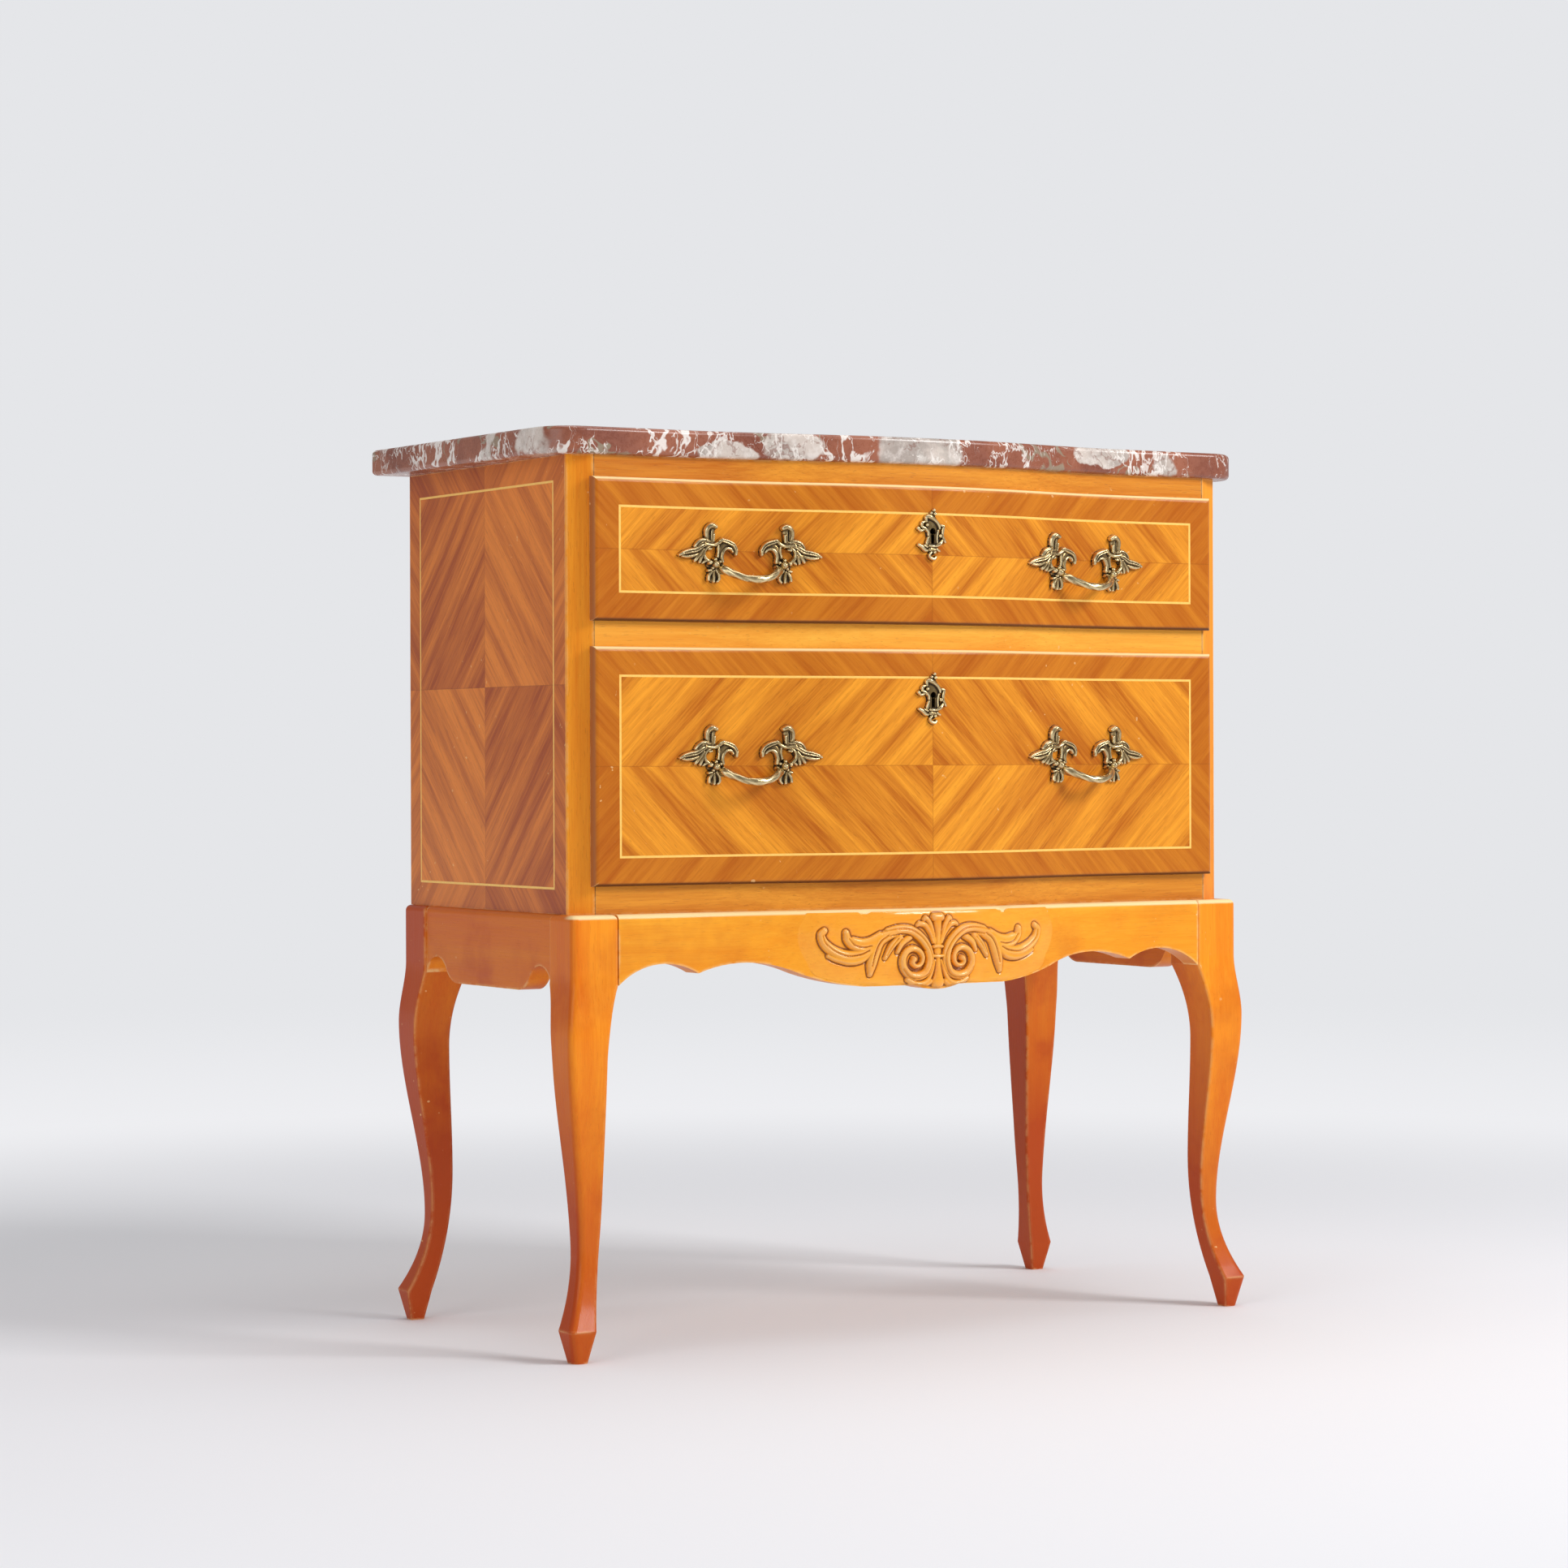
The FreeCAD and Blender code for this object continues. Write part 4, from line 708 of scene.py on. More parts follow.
def plain_wood(name, along, tints, band, worn=0.0, coat=0.0, pores=0.3, carved=False, soak_and_shade=None, end=None):
    """Solid wood with its grain along X, Y or Z; tints are its light and dark grain. Worn wood shows paler at
    its arrises. Carved wood is darker and redder in its hollows, partly staining and partly painted shade,
    and paler on its crests, partly wear and partly a painted highlight. Where soak_and_shade is given, the
    wood belongs to the stand. Where end is given, the wood ends that far to each side in a dark joint."""
    light, dark = tints
    graph = Finish(name, Coat_Weight=coat, **SATIN)
    grain = graph.grain(along, band)
    wood = graph.blend(grain["Tone"] * 0.75 + grain["Fibre"] * 0.25, dark, light)
    wood = graph.blend(grain["Pores"] * pores, wood, shade(dark, 0.5))
    if end is not None:
        beside = abs(graph.axes(graph.place)["X"])
        joint = graph.steps(beside, end - RAIL_JOINT[0], end - RAIL_JOINT[1], 0.0, 0.8)
        wood = graph.blend(joint, wood, shade(dark, 0.2))
    if soak_and_shade is not None:
        wood = stained_and_shaded(graph, wood, soak_and_shade)
    if carved:
        # Crests paler, partly wear and partly a painted highlight; hollows darker, partly staining and partly
        # painted shade.
        rubbed_and_highlit = graph.steps(graph.recess(), 0.0, -0.6, 0.0, 0.35)
        hollow = graph.steps(graph.recess(), 0.05, 0.9, 0.0, 0.75)
        wood = graph.blend(rubbed_and_highlit, wood, colours().worn)
        wood = graph.blend(hollow, wood, shade(colours().stain_and_shade, 0.4))
    rough = grain["Fibre"] * 0.1 + (0.32 if coat else 0.55)
    graph.lacquer(wood, grain, rough, worn, WOOD_ARRIS, MIDDLE_RELIEF)
    return graph.material


def stained_and_shaded(graph, wood, soak_and_shade):
    """Red staining and painted shade over a share of the stand's wood: more in clouds and towards the floor,
    and painted shade on the faces that turn away from the front. A painted highlight makes the ledge at the
    front of the stand's top pale."""
    axes = graph.axes(graph.place)
    facing = graph.facing()
    clouds = graph.steps(graph.noise(graph.place, 15.0, 4.0, 0.55), 0.45, 0.75, soak_and_shade, soak_and_shade + 0.3)
    # Painted shade: faces that turn away from the front get more of the red.
    share = clouds + graph.steps(facing["Y"], -0.8, -0.3, 0.0, 0.38)
    share = share + graph.steps(axes["Z"], *REDDENING_HEIGHTS, 0.0, 0.75)
    wood = graph.blend(graph.sum("MINIMUM", share, 0.92), wood, colours().stain_and_shade)
    # Painted highlight: the upward faces at the top front of the stand are painted pale.
    ledge = graph.steps(facing["Z"], 0.2, 0.6) * graph.steps(axes["Z"], *LEDGE_HEIGHTS)
    return graph.blend(ledge * graph.steps(axes["Y"], *LEDGE_DEPTHS), wood, colours().top_edge_highlight)


def panel_box(node, across):
    """The middle of a panel, nought in its thickness, and its half width and half height."""
    low, high = (np.array(corner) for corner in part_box(node))
    middle, half = (low + high) / 2, (high - low) / 2
    middle[1 - across] = 0
    return middle.tolist(), half[[across, 2]].tolist()


class ChestVeneers(bpy.types.Operator):
    """Give the drawer fronts and side panels their matched veneer with inlaid string"""
    bl_idname = "chest.veneers"
    bl_label = "Veneers"

    def execute(self, context):
        make_grain_group()
        make_match_group()
        make_wear_group()
        for name in DRAWERS:
            middle, half = panel_box(f"{name}_drawer_front", 0)
            wood = veneer(f"{name.capitalize()} drawer veneer", "X", middle, half, sizes().front_inset,
                          woods("front"), border_shade=0.55, quarter_tone_and_sheen=-0.04,
                          keyhole=half[1] - KEYHOLE_DROP)
            finish_nodes(wood, f"{name}_drawer_front")
        for side in SIDES:
            middle, half = panel_box(f"{side}_side_panel", 1)
            wood = veneer(f"{side.capitalize()} side veneer", "Y", middle, half, sizes().side_inset,
                          woods("side"), border_shade=0.15, quarter_tone_and_sheen=-0.16)
            finish_nodes(wood, f"{side}_side_panel")
        return {"FINISHED"}


class ChestFrame(bpy.types.Operator):
    """Give the rails and corner stiles their lacquered wood"""
    bl_idname = "chest.frame"
    bl_label = "Case frame"

    def execute(self, context):
        for node, tints in (("middle_rail", "rail"), ("top_rail", "frame"), ("bottom_rail", "frame")):
            name = node.replace("_", " ").capitalize()
            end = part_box(node)[1][0]
            wood = plain_wood(f"{name} wood", "X", woods(tints), band=0.02, worn=0.4, coat=0.1, end=end)
            finish_nodes(wood, node)
        upright = plain_wood("Stile wood", "Z", woods("stile"), band=0.02, worn=0.4, coat=0.1)
        finish_nodes(upright, "left_corner_stile", "right_corner_stile")
        return {"FINISHED"}


class ChestStand(bpy.types.Operator):
    """Give the legs and aprons their lacquered wood, with red staining, painted shade and a painted
    highlight, worn at the arrises
    """
    bl_idname = "chest.stand"
    bl_label = "Stand"

    def execute(self, context):
        # The red share to start from: more on the rear legs and the rear and side aprons, as painted shade on
        # parts that get less light.
        for name, along, tints, soak_and_shade, nodes in (
                ("Front leg", "Z", "leg", 0.0, ("front_left_leg", "front_right_leg")),
                ("Rear leg", "Z", "leg", 0.5, ("rear_left_leg", "rear_right_leg")),
                ("Front apron", "X", "apron", 0.0, ("front_apron",)),
                ("Rear apron", "X", "leg", 0.1, ("rear_apron",)),
                ("Side apron", "Y", "leg", 0.12, ("left_apron", "right_apron"))):
            wood = plain_wood(f"{name} wood", along, woods(tints), band=0.03, worn=0.8, coat=0.12, pores=0.2,
                              soak_and_shade=soak_and_shade)
            finish_nodes(wood, *nodes)
        return {"FINISHED"}


class ChestInside(bpy.types.Operator):
    """Give the drawer boxes, runners, back and braces their bare wood"""
    bl_idname = "chest.inside"
    bl_label = "Bare wood"

    def execute(self, context):
        rows = {
            "X": ["back_panel", "top_back_rail", "case_bottom", "drawer_stops", "corner_braces"],
            "Y": [f"{side}_{kind}" for side in SIDES for kind in ("lower_runner", "upper_runner", "kicker")],
        }
        for name in DRAWERS:
            rows["X"] += [f"{name}_drawer_back", f"{name}_drawer_bottom"]
            rows["Y"] += [f"{name}_drawer_{side}_side" for side in SIDES]
        for along, nodes in rows.items():
            finish_nodes(plain_wood(f"Bare wood along {along}", along, woods("bare"), band=0.018), *nodes)
        return {"FINISHED"}


# Large pale patches along the front of the slab: the middle of each and how far it reaches, in metres.
MARBLE_PATCHES = (
    ((-0.19, -0.16, 0.763), (0.03, 0.05, 0.008)),
    ((-0.132, -0.17, 0.77), (0.027, 0.07, 0.015)),
    ((-0.008, -0.18, 0.768), (0.04, 0.12, 0.03)),
    ((0.2, -0.16, 0.775), (0.03, 0.05, 0.014)),
)


class ChestMarble(bpy.types.Operator):
    """Give the slab its red marble with white veins and pale patches"""
    bl_idname = "chest.marble"
    bl_label = "Marble"

    def execute(self, context):
        tints = colours()
        graph = Finish("Red marble", Coat_Weight=0.12, Coat_Roughness=0.1)
        place = graph.place

        def pushed(scale, far):
            """The place moved about by noise, up to a distance, so that what is drawn there tears."""
            warp = graph.noise(place, scale, 4.0, 0.6, out="Color")
            push = graph.node("VectorMath", {0: warp, 1: (0.5, 0.5, 0.5)}, operation="SUBTRACT")
            return graph.node("VectorMath", {0: push, 1: (far, far, far), 2: place}, operation="MULTIPLY_ADD")

        def streaks(where, scale, thin, cluster, low, high):
            """Ragged lines where noise crosses its middle value, as thin as asked, only inside clusters."""
            ridge = abs(graph.noise(where, scale, 3.0, 0.58) - 0.5)
            swell = graph.steps(graph.noise(place, cluster, 3.0, 0.6), low, high)
            return graph.steps(ridge, swell * thin, swell * (thin * 0.3))

        clouds = graph.steps(graph.noise(place, 14.0, 4.0, 0.6, 0.4), 0.34, 0.66)
        stone = graph.blend(clouds, tints.marble_deep, tints.marble)
        mottle = graph.steps(graph.noise(place, 260.0, 4.0, 0.65), 0.3, 0.7)
        stone = graph.blend(mottle * 0.16, stone, shade(tints.marble, 1.5))
        grey = streaks(pushed(9.0, 0.05), 15.0, 0.03, 9.0, 0.46, 0.6)
        stone = graph.blend(grey * 0.7, stone, tints.marble_grey)
        torn = pushed(24.0, 0.03)
        patches = graph.steps(graph.noise(torn, 8.0, 3.0, 0.55, 0.3), 0.62, 0.645)
        for middle, reach in MARBLE_PATCHES:
            offset = graph.stretch(torn, [1 / v for v in reach], [-m / v for m, v in zip(middle, reach)])
            patches = graph.sum("MAXIMUM", patches, graph.steps(graph.away(offset), 1.06, 0.94))
        inner = graph.steps(graph.noise(torn, 26.0, 4.0, 0.6), 0.36, 0.6)
        pale = graph.blend(inner, shade(tints.marble_pale, 0.6), tints.marble_pale)
        breaks = graph.steps(graph.noise(place, 90.0, 4.0, 0.65), 0.45, 0.65)
        pale = graph.blend(breaks * 0.6, pale, tints.marble_vein)
        stone = graph.blend(patches * 0.9, stone, pale)
        cracks = streaks(torn, 48.0, 0.035, 30.0, 0.42, 0.6) * patches
        stone = graph.blend(cracks * 0.5, stone, tints.marble_deep)
        drawn = graph.stretch(pushed(20.0, 0.035), (1, 1, 0.4), turn=(0.5, 0.7, 0.3))
        broad = streaks(drawn, 34.0, 0.04, 14.0, 0.47, 0.64)
        fine = streaks(drawn, 75.0, 0.045, 17.0, 0.45, 0.64)
        veins = graph.sum("MAXIMUM", broad, fine * 0.8)
        stone = graph.blend(veins * 0.88, stone, tints.marble_vein)
        graph.set(Base_Color=stone, Roughness=mottle * 0.1 + 0.24)
        graph.bump(veins * mottle, MIDDLE_RELIEF)
        finish_nodes(graph.material, "marble_top")
        return {"FINISHED"}


# Ornament in millimetres: (x, z, half width, height). The carving's x is from the middle of the apron and its
# z from the floor; only its right half is listed.
CARVING_MIDDLE = (
    ((0, 339, 2.4, 2.6), (0, 347, 3, 3.2), (0, 355, 3.9, 3.4), (0, 360, 4.6, 3.2)),
    ((-3.2, 364.2, 4, 3.8), (3.2, 364.2, 4, 3.8)),
    ((-4.2, 338.8, 1.6, 3.6), (0, 339.3, 1.8, 3.9), (4.2, 338.8, 1.6, 3.6)),
    ((-4.4, 330.8, 1.6, 3.6), (0, 330.4, 1.8, 3.9), (4.4, 330.8, 1.6, 3.6)),
    ((0, 334, 4.2, 2.6), (0, 336, 4.2, 2.6)),
    ((0, 329, 2.6, 2.8), (0, 321, 3.4, 3.4), (0, 313, 5.2, 3.9), (0, 308.2, 6.6, 4)),
)
CARVING_HALF = (
    ((2.6, 341, 1.6, 2.2), (4.6, 349.5, 2.2, 2.8), (7.8, 358.5, 2.6, 3.2), (11.6, 363.4, 2.6, 3.2),
     (13.6, 362.6, 2, 2.6)),
    ((4.2, 342.5, 1.6, 2.2), (7.4, 351, 2.4, 2.8), (12.6, 357.6, 2.8, 3.2), (18, 358.8, 2.4, 2.8),
     (20.4, 357.6, 1.8, 2.2)),
    ((3.4, 327, 1.6, 2.4), (6.4, 317.5, 2.2, 3), (11, 310, 2.6, 3.4), (17.6, 307, 2.8, 3.6),
     (24.5, 307.8, 2.8, 3.6), (30.5, 311, 2.4, 3.2)),
    ((8, 309, 3, 2.8), (14, 305.8, 2.6, 2.6), (19.5, 305.6, 2, 2)),
    ((48, 351, 5.5, 3.8), (38, 353.5, 5.2, 4.1), (28, 353, 5, 4.3), (19.5, 348.5, 4.8, 4.5),
     (12.8, 341.5, 4.6, 4.6), (9, 333, 4.4, 4.7), (9, 324, 4.2, 4.7), (13, 316.6, 4.1, 4.7),
     (20.5, 313.6, 4, 4.7), (28.6, 315.2, 3.8, 4.6), (34, 321, 3.6, 4.5), (35.3, 328.2, 3.4, 4.4),
     (32.2, 334.6, 3.2, 4.3), (26.2, 337.6, 3, 4.3), (20, 336.2, 2.7, 4.2), (16.2, 331.6, 2.4, 4.2),
     (16.4, 326.4, 2.2, 4.2), (19.6, 322.8, 2.1, 4.3), (23.8, 322.8, 2.1, 4.5), (26.2, 325.6, 2.3, 4.7),
     (24.6, 328.6, 2.7, 5)),
    ((28, 348, 3.4, 3.4), (36, 342.5, 3, 3.6), (40, 335, 2, 2.8)),
    ((38, 348, 3.6, 3.5), (46, 340, 3.2, 3.7), (52, 330, 2, 2.8)),
    ((45, 352, 5.2, 3.8), (57, 345.5, 5.6, 4), (62, 335.5, 5.6, 4), (65, 325.5, 5, 3.8),
     (66.5, 316.5, 2.6, 3)),
    ((56, 349, 4.4, 3.6), (66, 345, 3.8, 3.6), (74, 344, 3.6, 3.6), (82, 346, 3.2, 3.4)),
    ((62, 342.5, 5.4, 3.8), (72, 339.5, 5.2, 4), (81, 341, 4.6, 4), (87, 346.5, 4, 3.8),
     (88.5, 352.5, 3.2, 3.2)),
    ((64, 339, 6, 3.8), (75, 334, 5.8, 4), (88, 332.5, 5.4, 4), (99.5, 336.5, 5, 4), (108, 343.5, 4.4, 3.8),
     (111, 351, 3.6, 3.4), (108, 354.5, 3, 3)),
    ((66, 336, 3.4, 3.4), (74, 329.5, 3.4, 3.4), (85, 327.5, 3.2, 3.3), (97, 330, 2.8, 3.1),
     (104.5, 333, 2.2, 2.6)),
)
CARVING_GROOVES = (
    ((56, 352.5, 1, 1), (40, 354.9, 1.1, 1.3), (28, 354, 1.1, 1.4), (18.5, 348.6, 1.1, 1.4),
     (11.7, 341.2, 1.1, 1.4), (7.5, 332.6, 1.1, 1.4), (7.4, 323.6, 1.1, 1.4), (11.6, 315.2, 1.1, 1.4),
     (20.2, 311.8, 1.1, 1.4), (29.4, 313.6, 1, 1.3), (35.4, 320.2, 0.9, 1.2)),
    ((48, 349, 1, 1), (36, 350.7, 1.1, 1.3), (27, 348.5, 1.1, 1.3), (19, 343, 1.1, 1.3),
     (13.4, 335.8, 1, 1.2)),
    ((50, 349.5, 1, 1.2), (57.5, 344, 1.1, 1.5), (62.2, 334.5, 1.1, 1.5), (65.2, 323.5, 0.9, 1.3)),
    ((66, 341, 0.9, 1.1), (73, 339.8, 1.1, 1.4), (81, 341.7, 1.1, 1.4), (86.4, 347.5, 0.9, 1.2)),
    ((68, 337, 1, 1.2), (76, 333.7, 1.1, 1.5), (88, 332.7, 1.1, 1.5), (99, 336.9, 1.1, 1.4),
     (107.4, 343.9, 1, 1.3), (110, 350.5, 0.8, 1.1)),
    ((40, 346.6, 0.9, 1.1), (46.4, 339.4, 1, 1.3), (51, 332, 0.8, 1)),
)
# The wood round the carving swells up to this height, and down to the wavy lower edge of the apron.
CARVING_TOP = 370
APRON_EDGE = ((0, 23, 70, 98, 125, 145), (303.1, 306.6, 306.6, 310.6, 318.6, 324.6))
# The right plate of a handle; x and z are from its screw, and the left plate is its mirror image.
ROSETTE = (
    ((9, 15, 4.5, 3), (14, 11, 5.5, 3.2), (19, 8.5, 4.5, 3), (26, 8.2, 3.2, 2.8)),
    ((-6, -1, 3.2, 3.2), (0, -2, 4.2, 3.4), (5, 0, 3.2, 3.2)),
    ((1, -4, 4.2, 3.2), (1.2, -9, 4.2, 3), (1.4, -12, 3.8, 2.8)),
    ((3.2, 18, 3.6, 3.6), (3.4, 23, 4, 3.8), (3.2, 29, 4.4, 4)),
    ((6.8, 20, 2.2, 4.2), (8, 25, 2.4, 4.8), (7.2, 30, 2.8, 5.6), (3.4, 32.8, 3.2, 6.4),
     (-0.6, 31.8, 2.6, 6)),
    ((1.6, 20, 1.8, 4.4), (1.2, 25.4, 1.9, 5)),
    ((-18.6, 11, 2.4, 3.2), (-15, 16, 3.4, 3.6), (-9.5, 17, 3.8, 3.8), (-6, 13, 3.4, 3.8), (-5, 8, 3, 3.6),
     (-5.6, 2, 3, 3.6)),
    ((-19.8, 9, 2, 4.6), (-19.6, 12.6, 2.4, 5.4), (-17, 16.6, 2.7, 6), (-12.4, 19, 2.8, 6.2),
     (-7, 20.4, 2.6, 6), (-5.2, 20.2, 2.2, 5.4)),
    ((-6.8, 21, 2.3, 6.2),),
    ((-16.6, 11.4, 1.8, 4.6), (-14.6, 13.4, 2, 5.2), (-11, 13.8, 2.2, 5.4), (-7.8, 11.6, 2.4, 5.6),
     (-6.2, 7.2, 2.4, 5.6), (-6.8, 2.6, 2.3, 5.6)),
    ((-5.2, 19.6, 2.4, 5.2), (-2.4, 17.6, 2.3, 5), (1.6, 16.4, 2.2, 5), (6, 16.6, 2.3, 5.4),
     (10, 17.4, 2.4, 5.4)),
    ((4.8, 15.4, 1.9, 5), (8.6, 13.4, 2, 5.4), (10.6, 9.6, 2, 5.2), (9.6, 5.6, 2.1, 5.4),
     (6, 2.4, 2.3, 5.8)),
    ((3.8, 13.2, 1.3, 5.2), (6.2, 12.8, 1.6, 5.8)),
    ((-3, 15.6, 1.7, 4.6), (-3.2, 11, 1.7, 4.6), (-2.4, 6.6, 1.8, 5)),
    ((0, 0, 4.2, 9.2),),
    ((0.4, 4.2, 2.3, 7),),
    ((5.2, 1.6, 2.9, 7.4),),
    ((-4.2, 2.2, 2.2, 6.4),),
    ((-1.2, -1.8, 2.2, 6.4),),
    ((2.6, -3, 2.2, 6.2),),
    ((-6.6, -1.6, 2.6, 6.6),),
    ((6, 19.6, 2.2, 4.8), (11, 20.2, 2.8, 5.8), (15.4, 18.2, 2.8, 5.4), (18.2, 15.2, 2.2, 4.4),
     (19.2, 13.6, 1.3, 3.2)),
    ((8, 16.6, 2.4, 5.2), (13, 15.2, 2.9, 6), (18, 12, 3, 6), (24, 10.8, 2.9, 5.8), (29.6, 9.4, 2.3, 5.2),
     (33.6, 7.6, 1.6, 4.2)),
    ((16, 8.6, 2, 4.6), (21, 7.2, 2.2, 4.8), (26.6, 6.4, 2, 4.6), (31, 6.6, 1.4, 4)),
    ((11.4, 12.4, 2.2, 5), (15, 8, 2.6, 5.2), (18, 4.2, 2.2, 4.4), (19, 2.6, 1.4, 3.2)),
    ((11.8, 8.8, 2, 4.8), (13.4, 5, 2.4, 4.8), (14.2, 2, 1.8, 3.8)),
    ((8.4, 3.4, 2.2, 5.2), (10.6, 2, 1.8, 4.2), (11.6, 1, 1.2, 3.2)),
    ((-0.6, -4.6, 2, 5.2), (-3.2, -8, 2, 5), (-3.8, -12, 1.9, 4.8), (-2.2, -14.4, 1.6, 4.4)),
    ((1.6, -5.6, 2, 4.6), (1.2, -10.6, 2.1, 4.6), (1.2, -14.4, 1.7, 4.2)),
    ((4.4, -4.8, 1.9, 5.4), (6.6, -5.2, 1.7, 5.4)),
    ((3.6, -6, 1.9, 5), (5.8, -9.6, 2, 5), (6.4, -13, 1.9, 5.2)),
)
ROSETTE_GROOVES = (
    ((9, 20, 0.7, 1), (14.6, 18.4, 0.8, 1.4), (17.8, 15.4, 0.6, 1)),
    ((11, 15.9, 0.7, 1.1), (18, 12, 0.8, 1.4), (24, 10.8, 0.8, 1.4), (30, 9.2, 0.6, 1)),
    ((-7, 20.4, 0.6, 1), (-12.6, 18.9, 0.8, 1.5), (-17.4, 16.5, 0.7, 1.4), (-20.2, 12.6, 0.5, 0.9)),
    ((4.4, 21, 0.7, 1.4), (4.6, 26, 0.9, 2), (4, 29.4, 0.7, 1.4)),
)
# A keyhole plate; x and z are from the middle of the keyhole.
KEY_PLATE = (
    ((-0.6, 13, 5.4, 1.8), (-0.8, 6, 7, 1.8), (0.4, 0, 7.2, 1.8), (-0.4, -6, 6.6, 1.8),
     (-0.6, -12, 4.6, 1.8)),
    ((0.8, 22.3, 1.9, 3.8),),
    ((1.6, 19.2, 2.1, 4),),
    ((-1.8, 19.6, 1.8, 3.2),),
    ((-7.2, 12.6, 1.6, 3.4), (-7, 16.2, 1.9, 3.8), (-3.4, 16.4, 2.6, 4.8), (0.6, 14, 2.1, 4.2),
     (3.8, 11.6, 2, 4), (5.8, 8.8, 1.9, 3.8), (6.4, 6.6, 1.4, 3)),
    ((-6.6, 9.4, 2, 4.4),),
    ((-8.8, 12.2, 1.5, 3), (-11.4, 11, 1.8, 3.6), (-11.4, 8, 1.7, 3.4), (-8.6, 6.2, 1.8, 3.8),
     (-5.6, 3.6, 1.7, 3.6), (-4.9, 0.6, 1.4, 3)),
    ((-15.4, 6.4, 1.9, 3.6), (-12.8, 4.4, 1.7, 3.4), (-9.4, 5.6, 1.7, 3.4)),
    ((-5.2, -1.6, 1.5, 3.2), (-6.2, -5, 1.7, 3.2), (-7.2, -8.2, 1.6, 3)),
    ((8.2, 9.2, 1.3, 2.8), (10.6, 8.4, 1.6, 3.2), (9.9, 4.6, 1.7, 3.2), (9.6, 0.4, 1.6, 3),
     (11.2, -3.2, 1.6, 3), (12.6, -5.2, 1.2, 2.4)),
    ((7, 0, 2.1, 4.4),),
    ((5, 5, 1.2, 3.2), (4.1, 1.6, 1.2, 3.2), (3.7, -2.8, 1.2, 3.2), (3.9, -6.2, 1.2, 3)),
    ((3.4, -8.4, 1.9, 3.8), (6.6, -6.6, 2.3, 4.4), (9.2, -3.8, 1.6, 3.2)),
    ((-14.8, -8, 1.8, 3.6), (-12, -9.6, 2.1, 4.2), (-8.8, -12.2, 2.1, 4), (-6.2, -12.8, 1.6, 3.2)),
    ((-9.6, -8.6, 1.7, 3.8), (-6.8, -9.6, 1.7, 3.6)),
    ((-3.8, -8.6, 1.5, 3.4), (-0.8, -8.9, 1.8, 4), (2.4, -8.9, 1.5, 3.4)),
    ((-2.6, -11.6, 2.8, 3), (1.6, -12.4, 2.6, 2.8)),
    ((1, -14.2, 1.9, 4.2),),
    ((-2.2, -14.2, 1.5, 3.2), (-4, -16.4, 1.6, 3.6), (-3, -19, 1.7, 3.8), (0.4, -20, 1.9, 4.2),
     (2.4, -18.2, 1.5, 3.4)),
    ((3.4, -11.4, 1.5, 2.8), (6.4, -12.9, 1.4, 2.6)),
)
# The step between a keyhole plate's points is this share of a handle's.
KEY_PLATE_STEP = 0.8
# The grip of a handle from its middle to the right plate: along, up and out from the drawer, then its radius.
GRIP = ((0, -12.9, 20.4, 3.6), (5, -12.7, 20.2, 3.3), (10.5, -11.7, 18.8, 3.1), (16, -9.8, 16.2, 3.2),
        (20.5, -7.6, 12.8, 3.5), (23.5, -5.8, 9.6, 3.9), (25.4, -4.9, 6.5, 4.1), (26.8, -4.4, 3, 3.8),
        (27.2, -4.2, 0.5, 3.2))
# A hollow of the grip counts as deep at this share of the radius, and all of the grip is brighter by this
# much, partly worn and partly a painted highlight.
GRIP_HOLLOW = 0.4
GRIP_RUB_AND_HIGHLIGHT = 0.2
# The grip's lobes, how fast they turn and their share of the radius, the half length of its ring as a share
# of its own, the points round it, and the direction that these are counted from.
GRIP_LOBES = 4
GRIP_TWISTS = 26.0
GRIP_RELIEF = 0.04
GRIP_RING = 0.05
GRIP_SIDES = 24
GRIP_ACROSS = (0.0, 0.35, 1.0)


def mirrored(strokes):
    """The strokes and their mirror images."""
    return list(strokes) + [[(-row[0],) + tuple(row[1:]) for row in rows] for rows in strokes]


class ChestCarving(bpy.types.Operator):
    """Carve the scrolls and leaves on the front apron"""
    bl_idname = "chest.carving"
    bl_label = "Carving"

    def execute(self, context):
        wood = plain_wood("Carved apron wood", "X", woods("apron"), band=0.03, coat=0.7, pores=0.2,
                          carved=True)
        flat_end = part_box("front_apron")[0][1] + BULGE
        rise, margin = sizes().carving_rise / MM, sizes().carving_margin / MM

        def swell(x, z, height, inside):
            """The wood round the ornament rises smoothly from the apron, from its lower edge and from a line
            at the top, and dips to a groove along the ornament's outline."""
            above = z - np.interp(np.abs(x), *APRON_EDGE)
            below = CARVING_TOP - z
            ground = rise * smooth((inside + margin) / (margin - CARVING_SHOULDER))
            ground = ground * smooth(below / CARVING_FADE) * smooth(above / CARVING_FADE)
            ground = ground * smooth(-inside / CARVING_OUTLINE)
            height = np.where(inside > 0, CARVING_RELIEF * height, ground)
            return height, np.minimum(np.maximum(inside, np.minimum(inside + margin, below)), above)

        sheet = carved_sheet(list(CARVING_MIDDLE) + mirrored(CARVING_HALF), mirrored(CARVING_GROOVES),
                             sizes().carving_step / MM, on_place(0, 0, flat_end), swell, margin)
        new_piece("apron_carving", [sheet], wood, "carcass", "stand_wood")
        return {"FINISHED"}


